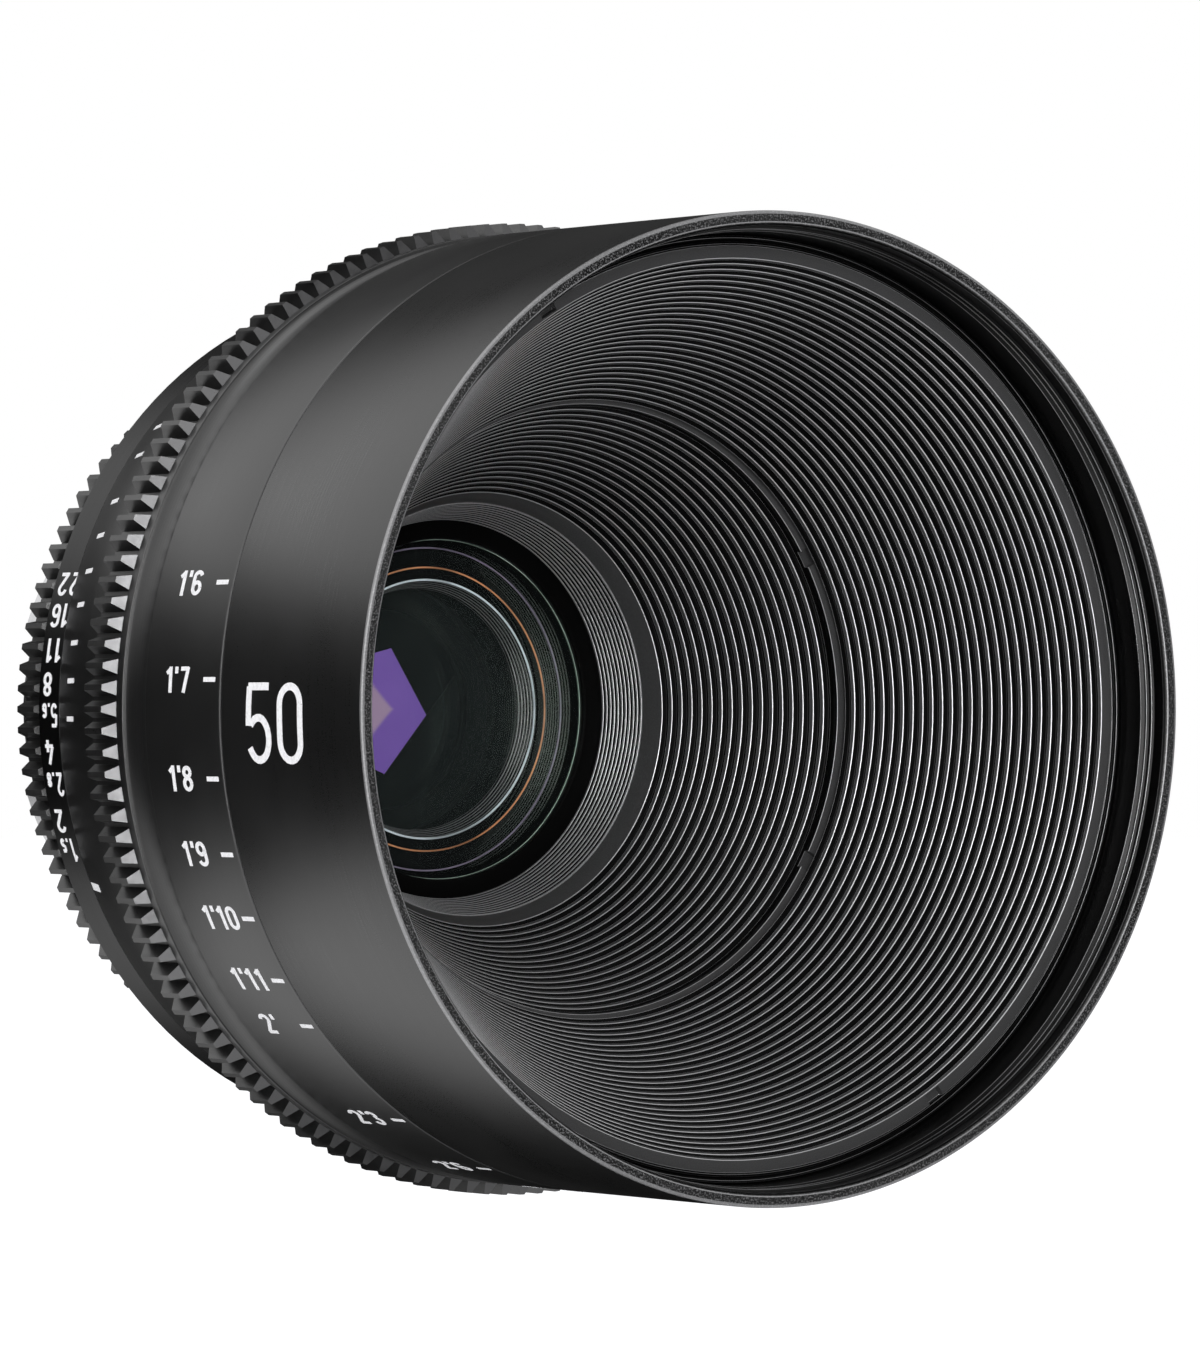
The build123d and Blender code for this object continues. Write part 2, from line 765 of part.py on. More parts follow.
def tab_chord():
    """Width across one tab at its outer edge."""
    return 2 * mount_tab_radius * sin(radians(mount_tab_angle / 2))


def mount_screw_shapes(extra):
    """Countersunk screws through the tabs; extra opens the hole backwards."""
    shapes = []
    head_front = front_to_flange - mount_screw_head + mount_screw_radius
    for number in range(mount_tab_count):
        angle = radians(first_tab_angle + 360 * number / mount_tab_count + mount_tab_angle / 4)
        place = Pos(mount_screw_circle * cos(angle), mount_screw_circle * sin(angle))
        shank = plate(place * Circle(mount_screw_radius), web_front, front_to_flange)
        sink = Cone(mount_screw_radius, mount_screw_head, front_to_flange - head_front,
                    align=(Align.CENTER, Align.CENTER, Align.MAX))
        spot = Plane(origin=(place.position.X, 0, place.position.Y), x_dir=(1, 0, 0), z_dir=(0, 1, 0))
        shape = shank + spot * sink
        if extra > 0:
            shape += plate(place * Circle(mount_screw_head), front_to_flange, front_to_flange + extra)
        shapes.append(shape)
    return shapes


# Focus carriage
def make_focus_carriage():
    body = turned([
        (carriage_front, carriage_bore),
        (carriage_front, carriage_radius),
        (carriage_web_rear, carriage_radius),
        (carriage_web_rear, carriage_tail_radius),
        (carriage_rear, carriage_tail_radius),
        (carriage_rear, carriage_tail_bore),
        (carriage_web_rear - carriage_web, carriage_tail_bore),
        (carriage_web_rear - carriage_web, carriage_bore),
    ])
    return body - follower_pins(0) - [fork_window(carriage_tail_radius, carriage_tail_bore)]


def follower_pins(extra):
    """Pins of the cam followers; extra lengthens them inwards."""
    root = carriage_radius - follower_root_wall - extra
    tip = focus_bore + groove_depth - follower_play
    return [radial_pin(360 * number / follower_count, follower_depth, follower_radius, root, tip)
            for number in range(follower_count)]


def fork_window(outer, inner):
    """Opening that the fork of the slotted ring swings in."""
    half_fork = bar_width / 2 + bar_play + fork_prong
    swing = degrees(asin((half_fork + window_play) / inner))
    front = cam_front - leaf_gap
    rear = cam_rear + leaf_gap
    return turned_part([(front, inner - overrun), (front, outer + overrun),
                        (rear, outer + overrun), (rear, inner - overrun)],
                       180 - iris_turn_close - swing, 180 + iris_turn_open + swing)


# Inner baffle
def make_inner_baffle():
    front = inner_baffle_front + inner_lip_width
    cone = ribbed(front, inner_baffle_mouth, inner_waist_depth, inner_baffle_waist,
                  inner_rib_count, rib_depth)
    back = rib_depth + baffle_wall
    flange_front = inner_baffle_rear - inner_flange_length
    share = (flange_front - front) / (inner_waist_depth - front)
    flange_cone = inner_baffle_mouth + share * (inner_baffle_waist - inner_baffle_mouth) + back
    lip = inner_baffle_mouth + back
    body = turned([(inner_baffle_front, inner_baffle_mouth)] + cone + [
        (inner_baffle_rear, inner_baffle_throat),
        (inner_baffle_rear, inner_flange_radius),
        (flange_front, inner_flange_radius),
        (flange_front, flange_cone),
        (front, lip),
        (inner_baffle_front, lip),
    ])
    angles = (inner_notch_angle, -inner_notch_angle, 180 - inner_notch_angle, 180 + inner_notch_angle)
    notches = spanner_notches(angles, inner_baffle_front, inner_baffle_mouth - overrun, lip + overrun)
    return body - notches


# Front element retainer
def make_element_retainer():
    cone = ribbed(inner_baffle_rear, retainer_mouth, retainer_rib_end, retainer_throat,
                  retainer_rib_count, fine_rib_depth)
    return turned(cone + [
        (retainer_rib_end, retainer_lip_radius),
        (front_glass_rim_depth, retainer_lip_radius),
        (front_glass_rim_depth, retainer_radius),
        (inner_baffle_rear, retainer_radius),
    ])


# Front cell
def make_front_cell():
    return turned([
        (inner_baffle_rear - inner_flange_length, inner_flange_radius),
        (inner_baffle_rear - inner_flange_length, carriage_tail_bore),
        (housing_front, carriage_tail_bore),
        (housing_front, doublet_radius),
        (second_rim, doublet_radius),
        (second_rim, second_clear),
    ] + ribbed(second_rim, second_clear, front_glass_rear_rim_depth, second_clear,
               cell_bore_rib_count, fine_rib_depth)[1:] + [
        (front_glass_rear_rim_depth, front_glass_radius),
        (front_glass_rim_depth, front_glass_radius),
        (front_glass_rim_depth, retainer_radius),
        (inner_baffle_rear, retainer_radius),
        (inner_baffle_rear, inner_flange_radius),
    ])


def make_rear_cell():
    return turned([
        (housing_rear, fourth_clear),
        (housing_rear, carriage_tail_bore),
        (carriage_rear, carriage_tail_bore),
        (carriage_rear, rear_cell_radius),
        (rear_cell_end, rear_cell_radius),
        (rear_cell_end, rear_glass_radius),
        (fourth_rim, rear_glass_radius),
        (fourth_rim, fourth_clear),
    ])


# Iris housing and its cover
def make_iris_housing():
    body = turned([
        (housing_front, iris_stop_radius),
        (housing_front, carriage_tail_bore),
        (housing_rear, carriage_tail_bore),
        (housing_rear, housing_bore),
        (housing_front + housing_plate, housing_bore),
        (housing_front + housing_plate, iris_stop_radius),
    ])
    holes = Sketch()
    for number in range(leaf_count):
        pivot = leaf_pivot(number)
        holes += Pos(*pivot) * Circle(stud_radius + running_fit)
    drilled = plate(holes, housing_front - overrun, housing_front + housing_plate + overrun)
    return body - drilled - fork_window(carriage_tail_bore, housing_bore)


def leaf_angle(number):
    """Turn of one leaf's place round the axis."""
    return 360 * number / leaf_count


def leaf_pivot(number):
    """Pivot of one leaf, seen from the front."""
    polar = radians(90 - leaf_pivot_angle + leaf_angle(number))
    return leaf_pivot_circle * cos(polar), leaf_pivot_circle * sin(polar)


def drive_stud(turn):
    """Drive stud of the first leaf after a turn from fully open: radius and polar angle."""
    x, y = leaf_pivot(0)
    direction = radians(leaf_lever_angle + turn)
    x += leaf_lever * cos(direction)
    y += leaf_lever * sin(direction)
    return hypot(x, y), degrees(atan2(y, x))


def make_iris_leaf(number):
    """Leaf with a pivot stud in the housing and a drive stud in the slotted ring."""
    x, y = leaf_pivot(0)
    blade = Circle(leaf_back_radius) - Pos(0, leaf_chord - leaf_back_radius) * Rectangle(
        2 * leaf_back_radius, 2 * leaf_back_radius)
    lever = radians(leaf_lever_angle)
    stud = (x + leaf_lever * cos(lever), y + leaf_lever * sin(lever))
    root = radians(leaf_ear_root_angle)
    ear_root = (leaf_ear_root_circle * cos(root), leaf_ear_root_circle * sin(root))
    rounds = [Pos(*spot) * Circle(leaf_ear_radius) for spot in ((x, y), stud, ear_root)]
    ear = make_hull([edge for disc in rounds for edge in disc.edges()])
    front = leaf_front + number * leaf_pitch
    rear = front + leaf_thickness
    leaf = plate(blade + ear, front, rear)
    leaf += plate(Pos(x, y) * Circle(stud_radius), housing_front + stud_end_gap, rear)
    leaf += plate(Pos(*stud) * Circle(stud_radius), front, cam_rear - stud_end_gap)
    hinge = Axis((x, 0, y), (0, -1, 0))
    return leaf.rotate(hinge, leaf_rest_turn).rotate(Axis.Y, -leaf_angle(number))


def make_cam_ring():
    """Slotted ring that swings the leaves, with the fork that the drive bar turns it by."""
    path = []
    for step in range(slot_points):
        ring_turn = iris_range * step / (slot_points - 1) - iris_turn_open
        radius, polar = drive_stud((ring_turn + iris_turn_open) * leaf_turn / iris_range)
        polar = radians(polar - ring_turn)
        path.append((radius * cos(polar), radius * sin(polar)))
    half = stud_radius + stud_play
    slot = trace(Spline(*path), 2 * half) + Pos(*path[0]) * Circle(half) + Pos(*path[-1]) * Circle(half)
    slots = Sketch()
    for number in range(leaf_count):
        slots += Rot(0, 0, leaf_angle(number)) * slot
    half_fork = bar_width / 2 + bar_play + fork_prong
    fork_inner = cam_ring_outer - overrun
    fork = Pos(0, -(fork_inner + fork_radius) / 2) * Rectangle(2 * half_fork, fork_radius - fork_inner)
    mouth_inner = bar_inner - fork_root_gap
    mouth = Pos(0, -(mouth_inner + fork_radius + overrun) / 2) * Rectangle(
        bar_width + 2 * bar_play, fork_radius + overrun - mouth_inner)
    outline = Circle(cam_ring_outer) + fork - mouth - Circle(cam_ring_inner) - slots
    return plate(outline, cam_front, cam_rear)


def make_drive_bar():
    """Bar inside the rear barrel that carries the iris ring's turn to the fork."""
    bar = Pos(0, -(bar_inner + bar_outer) / 2) * Rectangle(bar_width, bar_outer - bar_inner)
    boss = Pos(0, -(bar_inner + iris_bore) / 2) * Rectangle(bar_boss_width, iris_bore - bar_inner)
    boss = boss & Circle(iris_bore)
    body = plate(bar, bar_boss_front, bar_rear)
    body += plate(boss, bar_boss_front, bar_boss_front + bar_boss_length)
    return body - bar_screw_shapes(0)


glass = {
    "front_element": lens_element(
        front_glass_vertex, front_glass_curve, front_glass_clear,
        front_glass_rear_vertex, front_glass_rear_curve, front_glass_rear_clear, front_glass_radius),
    "second_element": lens_element(
        second_vertex, second_curve, second_clear, doublet_joint, 0, third_clear, doublet_radius),
    "third_element": lens_element(
        doublet_joint, 0, third_clear, third_vertex, third_curve, third_clear, doublet_radius),
    "fourth_element": lens_element(
        fourth_vertex, fourth_curve, fourth_clear, rear_doublet_joint, 0, fourth_clear,
        rear_glass_radius, bends=(-1, 1)),
    "fifth_element": lens_element(
        rear_doublet_joint, 0, fourth_clear, fifth_vertex, fifth_curve, rear_clear,
        rear_glass_radius, bends=(1, -1)),
    "sixth_element": lens_element(
        sixth_vertex, sixth_curve, rear_clear, sixth_rear_vertex, sixth_rear_curve, rear_clear,
        rear_glass_radius, bends=(1, -1)),
    "rear_element": lens_element(
        seventh_vertex, seventh_curve, seventh_clear, seventh_rear_vertex, seventh_rear_curve,
        seventh_clear, rear_glass_radius, bends=(1, -1)),
}

parts = {
    "front_barrel": make_front_barrel(),
    "front_baffle": make_front_baffle(),
    "main_barrel": make_main_barrel(),
    "barrel_screws": Compound(children=barrel_screws()),
    "focus_ring": make_focus_ring(),
    "focus_gear": make_gear(focus_teeth, focus_gear_front, focus_gear_seat),
    "index_ring": make_index_ring(),
    "iris_ring": make_iris_ring(),
    "iris_gear": make_gear(iris_teeth, iris_gear_front, iris_gear_seat),
    "iris_drive_bar": make_drive_bar(),
    "iris_bar_screws": Compound(children=bar_screw_shapes(0)),
    "rear_barrel": make_rear_barrel(),
    "mount_shim": tube(shim_front, mount_front, mount_disc_radius, rear_throat_radius),
    "lens_mount": make_lens_mount(),
    "mount_screws": Compound(children=mount_screw_shapes(0)),
    "focus_carriage": make_focus_carriage(),
    "cam_followers": Compound(children=follower_pins(0)),
    "inner_baffle": make_inner_baffle(),
    "element_retainer": make_element_retainer(),
    "front_cell": make_front_cell(),
    "doublet_retainer": tube(third_rim, third_rim + doublet_ring_width, doublet_radius, third_clear + cell_ledge),
    "iris_housing": make_iris_housing(),
    "iris_cover": tube(cover_front, housing_rear, housing_bore, cover_inner),
    "iris_cam_ring": make_cam_ring(),
    "rear_cell": make_rear_cell(),
    "front_spacer": tube(fifth_rim, sixth_rim, rear_glass_radius, rear_clear),
    "rear_spacer": tube(sixth_rear_rim, seventh_rim, rear_glass_radius, rear_clear),
    "rear_retainer": tube(seventh_rear_rim, rear_cell_end, rear_glass_radius, seventh_clear),
}
for number in range(leaf_count):
    parts[f"iris_leaf_{number + 1}"] = make_iris_leaf(number)
parts.update(glass)

os.makedirs("parts", exist_ok=True)
for name, shape in parts.items():
    export_step(shape, f"parts/{name}.step")
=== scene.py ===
import json
import math

import bmesh
import bpy
import numpy as np
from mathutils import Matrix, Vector


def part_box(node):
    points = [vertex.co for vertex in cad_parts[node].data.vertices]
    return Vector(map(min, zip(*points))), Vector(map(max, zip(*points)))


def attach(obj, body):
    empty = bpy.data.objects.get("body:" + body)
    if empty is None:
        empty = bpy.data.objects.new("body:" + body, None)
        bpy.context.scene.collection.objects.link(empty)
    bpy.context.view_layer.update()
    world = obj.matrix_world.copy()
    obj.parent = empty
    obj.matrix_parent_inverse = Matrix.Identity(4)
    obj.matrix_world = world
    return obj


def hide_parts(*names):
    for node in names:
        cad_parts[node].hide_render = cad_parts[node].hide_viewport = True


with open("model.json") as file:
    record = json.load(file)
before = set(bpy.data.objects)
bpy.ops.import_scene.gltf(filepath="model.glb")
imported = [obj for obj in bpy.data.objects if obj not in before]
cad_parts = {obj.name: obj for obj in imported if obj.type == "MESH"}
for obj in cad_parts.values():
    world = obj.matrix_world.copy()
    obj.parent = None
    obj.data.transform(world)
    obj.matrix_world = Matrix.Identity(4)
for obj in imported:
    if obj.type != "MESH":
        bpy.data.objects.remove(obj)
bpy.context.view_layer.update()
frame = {"nodes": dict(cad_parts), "record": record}

# The looks of a cinema prime lens. The lens axis is Y and the front looks to -Y. The frame is in
# metres. Here, depths run backwards from the front rim, as a maker would measure them, and depths,
# radii and widths are in millimetres.
MM = 0.001
rim_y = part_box("front_barrel")[0].y


def front_of(node):
    """Depth of a node's front end."""
    return (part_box(node)[0].y - rim_y) / MM


def rear_of(node):
    """Depth of a node's rear end."""
    return (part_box(node)[1].y - rim_y) / MM


def radius_of(node):
    """Largest radius of a turned node."""
    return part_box(node)[1].x / MM


# Places that the frame gives
barrel_radius = radius_of("front_barrel")
barrel_rear = rear_of("front_barrel")
focus_front = front_of("focus_ring")
focus_rear = rear_of("focus_ring")
focus_gear_front = front_of("focus_gear")
index_front = front_of("index_ring")
index_rear = rear_of("index_ring")
index_front_radius = radius_of("index_ring")
iris_front = front_of("iris_ring")
iris_rear = rear_of("iris_ring")
iris_radius = radius_of("iris_ring")
baffle_front = front_of("front_baffle")
baffle_rear = rear_of("front_baffle")
baffle_radius = radius_of("front_baffle")
inner_front = front_of("inner_baffle")
inner_rear = rear_of("inner_baffle")
inner_flange_radius = radius_of("inner_baffle")
retainer_radius = radius_of("element_retainer")
retainer_rear = rear_of("element_retainer")
cell_front = front_of("front_cell")
cell_rear = rear_of("front_cell")
cell_radius = radius_of("front_cell")
glass_front = front_of("front_element")
glass_rear = rear_of("front_element")
glass_radius = radius_of("front_element")
doublet_radius = radius_of("second_element")

# The index ring tapers towards the back, which its box doesn't show
index_taper = 3.5
index_rear_radius = index_front_radius - index_taper

# Camera, from the rim and seam ellipses of the photograph
image_height = 1357
focal_pixels = 7500.0
centre_row = 709.2
sensor_width = 36.0
camera_azimuth = -33.88
camera_place = (-0.4952, -0.8197, 0.0)

# Marks on the faces of a turned piece, for the finishes
edge_mark = 1.0
land_mark = 0.5


class Field:
    """A shader socket; arithmetic on it adds Math nodes, and numbers alone stay in Python."""

    def __init__(self, paint, socket):
        self.paint = paint
        self.socket = socket

    def math(self, operation, *others, clamp=False):
        settings = {"operation": operation, "use_clamp": clamp}
        inputs = dict(enumerate((self, *others)))
        return self.paint.node("ShaderNodeMath", settings, inputs).out(0)

    def __add__(self, other):
        return self.math("ADD", other)

    def __sub__(self, other):
        return self.math("SUBTRACT", other)

    def __rsub__(self, other):
        return self.paint.value(other).math("SUBTRACT", self)

    def __mul__(self, other):
        return self.math("MULTIPLY", other)

    def __truediv__(self, other):
        return self.math("DIVIDE", other)

    def __abs__(self):
        return self.math("ABSOLUTE")

    def sqrt(self):
        return self.math("SQRT")

    def clamped(self):
        return self.math("ADD", 0.0, clamp=True)

    def step(self, low, high):
        """Smooth rise from 0 at low to 1 at high."""
        settings = {"interpolation_type": "SMOOTHSTEP"}
        inputs = {"Value": self, "From Min": low, "From Max": high}
        return self.paint.node("ShaderNodeMapRange", settings, inputs).out(0)

    def band(self, low, high, soft):
        """1 between low and high, falling to 0 over soft outside them."""
        return self.step(low - soft, low) * (1 - self.step(high, high + soft))


class Node:
    """A shader node whose outputs come back as fields."""

    def __init__(self, paint, raw):
        self.paint = paint
        self.raw = raw

    def out(self, name):
        return Field(self.paint, self.raw.outputs[name])


class Paint:
    """The node tree of one finish."""

    def __init__(self, tree):
        self.tree = tree
        self.tree.nodes.clear()

    def node(self, kind, settings=None, inputs=None):
        """Adds any node: settings are set first, then the values or links of its sockets."""
        raw = self.tree.nodes.new(kind)
        for key, value in (settings or {}).items():
            setattr(raw, key, value)
        for key, value in (inputs or {}).items():
            if isinstance(value, Field):
                self.tree.links.new(value.socket, raw.inputs[key])
            else:
                raw.inputs[key].default_value = value
        return Node(self, raw)

    def value(self, number):
        raw = self.tree.nodes.new("ShaderNodeValue")
        raw.outputs[0].default_value = number
        return Field(self, raw.outputs[0])

    def mix(self, factor, first, second):
        """Colour between two colours."""
        inputs = {0: factor, 6: first, 7: second}
        return self.node("ShaderNodeMix", {"data_type": "RGBA"}, inputs).out(2)

    def blend(self, factor, first, second):
        """Shader between two shaders."""
        return self.node("ShaderNodeMixShader", inputs={0: factor, 1: first, 2: second}).out(0)

    def place(self):
        """Object coordinates, in metres."""
        return self.node("ShaderNodeTexCoord").out("Object")

    def place_in_mm(self):
        """Object coordinates along X, Y and Z, in millimetres."""
        split = self.node("ShaderNodeSeparateXYZ", inputs={0: self.place()})
        return [split.out(axis) / MM for axis in range(3)]

    def turned_place(self):
        """Radius and depth."""
        across, along, up = self.place_in_mm()
        return (across * across + up * up).sqrt(), along - rim_y / MM

    def mark(self):
        """The mark of a face: edge_mark, land_mark or 0."""
        return self.node("ShaderNodeAttribute", {"attribute_name": "edge"}).out("Fac")

    def edge_mask(self):
        """1 on the sharp outer edges of a turned piece."""
        return self.mark().step(0.7, 0.8)

    def land_mask(self):
        """1 on the lands between two sharp outer edges."""
        return self.mark().band(0.3, 0.7, 0.1)

    def noise(self, scale, detail=2.0, rough=0.5, stretch=None):
        """Noise with this many cells a metre; stretch scales it along X, Y and Z."""
        where = self.place()
        if stretch:
            inputs = {"Vector": where, "Scale": stretch}
            where = self.node("ShaderNodeMapping", inputs=inputs).out(0)
        inputs = {"Vector": where, "Scale": scale, "Detail": detail, "Roughness": rough}
        return self.node("ShaderNodeTexNoise", inputs=inputs).out(0)

    def bump(self, height, strength, distance):
        inputs = {"Strength": strength, "Distance": distance, "Height": height}
        return self.node("ShaderNodeBump", inputs=inputs).out(0)

    def surface(self, shader):
        self.node("ShaderNodeOutputMaterial", inputs={"Surface": shader})

    def principled(self, **inputs):
        """Principled surface; keys are socket names with underscores for spaces."""
        named = {key.replace("_", " "): value for key, value in inputs.items()}
        self.surface(self.node("ShaderNodeBsdfPrincipled", inputs=named).out(0))


def finish(name):
    """A new empty material and its paint."""
    material = bpy.data.materials.new(name)
    material.use_nodes = True
    return material, Paint(material.node_tree)


def grey(level):
    """Grey with a trace of blue."""
    return (level, level, level * 1.02, 1.0)


def darker(colour, share):
    """A share of a colour."""
    return tuple(share * level for level in colour[:3]) + (1.0,)


# Finishes. Bumps are this high, in metres.
fine_grain = 0.00002
tool_marks = 0.00003


def anodised_barrel(name, rough=0.3, edge_shine=0.3, rim_speckle=0.0):
    """Satin black anodised aluminium: a fine blasted grain, faint turning lines and rubbed edges,
    which are lightened further as a painted highlight.
    With a rim speckle, the face of the rim has a coarser grain of that grey and the bore behind
    it is dead black."""
    material, paint = finish(name)
    black_level = 0.0045
    rubbed_and_glint_level = 0.55
    bore_level = 0.004
    bore_radius = barrel_radius - 1.2
    grain = paint.noise(7000.0, 3.0, 0.6)
    clouds = paint.noise(60.0, 4.0, 0.55)
    turning = paint.noise(300.0, 2.0, 0.5, stretch=(0.02, 22.0, 0.02))
    edge = paint.edge_mask()
    metal = edge * edge_shine
    shade = (grain - 0.5) * 0.9 + (clouds - 0.5) * 0.4 + 0.5
    colour = paint.mix(shade.step(0.2, 0.9), grey(black_level * 0.5), grey(black_level * 2.4))
    if rim_speckle:
        radius, depth = paint.turned_place()
        on_face = 1 - depth.step(0.05, 0.3)
        speckle = paint.noise(4500.0, 2.0, 0.7).step(0.5, 0.62) * on_face
        colour = paint.mix(speckle, colour, grey(rim_speckle))
        inside = (1 - radius.step(bore_radius - 0.1, bore_radius)) * depth.step(0.15, 0.3)
        colour = paint.mix(inside, colour, grey(bore_level))
        metal = edge * (inside * 0.6 + edge_shine) + inside * (1 - edge) * 0.8
    # Rubbed edges: part wear, part painted highlight, lighter and more metallic than the black
    colour = paint.mix(edge * edge_shine, colour, grey(rubbed_and_glint_level))
    uneven = (clouds - 0.5) * 0.1 + (turning - 0.5) * 0.08 + (grain - 0.5) * 0.12
    paint.principled(Base_Color=colour, Metallic=metal, Roughness=uneven + rough,
                     Specular_IOR_Level=0.7,
                     Normal=paint.bump(grain * 0.7 + turning * 0.3, 0.3, fine_grain))
    return material


def matt_baffle(name, land_sheen_level=0.045, land_metal=0.0, edge_wear_and_glint_level=0.7, rough=0.36,
                specular=0.6):
    """Black anodised ribs: dead black grooves as painted shade, grey lands as a painted highlight
    and sharp edges that are rubbed bright and lightened further as a painted highlight."""
    material, paint = finish(name)
    # The grooves are painted dead black: painted shade of the deep valleys between the ribs
    groove_shade_level = 0.004
    grain = paint.noise(9000.0, 2.0, 0.6)
    clouds = paint.noise(90.0, 3.0, 0.5)
    edge = paint.edge_mask()
    land = paint.land_mask()
    # Grey lands with grain: a painted highlight of the light that the crests catch
    land_grain_and_sheen = paint.mix(grain.step(0.3, 0.8), grey(land_sheen_level * 0.6), grey(land_sheen_level * 1.5))
    colour = paint.mix(land, grey(groove_shade_level), land_grain_and_sheen)
    # Edges: rubbed bright, part wear and part painted highlight
    colour = paint.mix(edge * 0.9, colour, grey(edge_wear_and_glint_level))
    uneven = (clouds - 0.5) * 0.08 + (grain - 0.5) * 0.14
    metal = edge * 0.85 + land * land_metal + (1 - edge - land) * 0.85
    paint.principled(Base_Color=colour, Metallic=metal, Roughness=uneven + rough,
                     Specular_IOR_Level=specular, Normal=paint.bump(grain, 0.25, fine_grain))
    return material


def cut_gear(name, bevel_level, bevel_metal):
    """Machined gear: black flanks with tool marks, and bevels at the ends of its teeth, which are
    known by how far their normals turn to the lens axis."""
    material, paint = finish(name)
    grain = paint.noise(7000.0, 3.0, 0.6)
    marks = paint.noise(900.0, 2.0, 0.5, stretch=(1.0, 0.12, 1.0))
    normal = paint.node("ShaderNodeNewGeometry").out("True Normal")
    along = paint.node("ShaderNodeSeparateXYZ", inputs={0: normal}).out(1)
    bevel = abs(along).band(0.72, 0.93, 0.04)
    colour = paint.mix(grain.step(0.35, 0.8), grey(0.003), grey(0.016))
    # Bevel grey and metal: on the focus gear, lighter than the iris gear's, a painted highlight
    colour = paint.mix(bevel, colour, grey(bevel_level))
    uneven = (marks - 0.5) * 0.2 + (grain - 0.5) * 0.2
    paint.principled(Base_Color=colour, Metallic=bevel * bevel_metal, Roughness=uneven + 0.34,
                     Specular_IOR_Level=0.7,
                     Normal=paint.bump(grain * 0.6 + marks * 0.4, 0.4, tool_marks))
    return material


def print_white(name):
    """White filling of the engraved scales, slightly rubbed."""
    material, paint = finish(name)
    wear_and_sheen = paint.noise(2500.0, 3.0, 0.6).step(0.25, 0.6)
    paint.principled(Base_Color=paint.mix(wear_and_sheen, grey(0.72), grey(0.88)), Roughness=0.55)
    return material


def turned_steel(name):
    """Bright turned steel with fine rings: noise over radius and depth alone."""
    material, paint = finish(name)
    radius, depth = paint.turned_place()
    across_rings = paint.node("ShaderNodeCombineXYZ", inputs={0: radius * 0.9, 1: depth * 0.9})
    inputs = {"Vector": across_rings.out(0), "Scale": 6.0, "Detail": 3.0}
    rings = paint.node("ShaderNodeTexNoise", inputs=inputs).out(0)
    clouds = paint.noise(80.0, 3.0, 0.5)
    paint.principled(Base_Color=paint.mix(clouds, grey(0.5), grey(0.62)), Metallic=1.0,
                     Roughness=(rings - 0.5) * 0.25 + 0.28,
                     Normal=paint.bump(rings, 0.2, tool_marks))
    return material


def small_metal(name, colour, metallic, rough):
    """Small machined parts."""
    material, paint = finish(name)
    grain = paint.noise(5000.0, 3.0, 0.6)
    paint.principled(Base_Color=paint.mix(grain.step(0.3, 0.7), darker(colour, 0.7), colour),
                     Metallic=metallic, Roughness=(grain - 0.5) * 0.2 + rough,
                     Normal=paint.bump(grain, 0.3, fine_grain))
    return material


def coated_glass(name, tint, strength):
    """Coated glass: clear when faced, with a coloured sheen that grows towards the edge and a
    trace of haze."""
    material, paint = finish(name)
    haze = 0.006
    clear_colour = (0.98, 0.99, 0.985, 1.0)
    dust_colour = (0.55, 0.66, 0.66, 1.0)
    gloss_inputs = {"Color": tint, "Roughness": 0.02}
    gloss = paint.node("ShaderNodeBsdfGlossy", inputs=gloss_inputs).out(0)
    clear = paint.node("ShaderNodeBsdfTransparent", inputs={"Color": clear_colour}).out(0)
    fresnel = paint.node("ShaderNodeFresnel", inputs={"IOR": 1.5}).out(0)
    bare = paint.blend((fresnel * strength).clamped(), clear, gloss)
    dust = paint.node("ShaderNodeBsdfDiffuse", inputs={"Color": dust_colour}).out(0)
    paint.surface(paint.blend(haze, bare, dust))
    return material


def purple_glass(name):
    """Glass behind the iris, whose coating throws back violet light; the little that reaches the
    eye from inside the barrel is painted light, a glow of its own. A painted reflection pales it to
    the left."""
    material, paint = finish(name)
    across, _, up = paint.place_in_mm()
    clouds = paint.noise(120.0, 2.0, 0.5)
    violet = paint.mix(clouds, (0.12, 0.062, 0.29, 1.0), (0.18, 0.095, 0.38, 1.0))
    # Paler colour to the left: a painted reflection
    pale = (0.32, 0.22, 0.33, 1.0)
    colour = paint.mix((across + abs(up) * 0.8).step(8.6, 9.4), pale, violet)
    # The emission is painted light: the glass glows though it is no lamp
    paint.principled(Base_Color=colour, Metallic=0.2, Roughness=0.25, Emission_Color=colour,
                     Emission_Strength=0.9)
    return material


def painted_glint_lip(name, colour):
    """Thin lip beside the glass whose colour is a painted reflection, tinted by the coatings
    before it and uneven along its length.
    """
    material, paint = finish(name)
    # Uneven painted reflection along the lip
    wear_and_sheen = paint.noise(90.0, 2.0, 0.5).step(0.3, 0.55)
    paint.principled(Base_Color=paint.mix(wear_and_sheen, darker(colour, 0.4), colour), Metallic=0.1,
                     Roughness=0.25)
    return material


# The barrel's edge shine is partly rubbed wear and partly a painted highlight
black_barrel = anodised_barrel("barrel_black", edge_shine=0.4, rim_speckle=0.13)
black_ring = anodised_barrel("ring_black", rough=0.32, edge_shine=0.03)
black_baffle = matt_baffle("baffle_black")
# The retainer's grey metallic lands are a painted highlight of its lit fine ribs
bright_ribs = matt_baffle("retainer_black", land_sheen_level=0.3, land_metal=0.6)
black_cell = matt_baffle("cell_black", land_sheen_level=0.008, edge_wear_and_glint_level=0.1, rough=0.45)
black_bore = matt_baffle("bore_black", land_sheen_level=0.004, edge_wear_and_glint_level=0.4, specular=0.1)
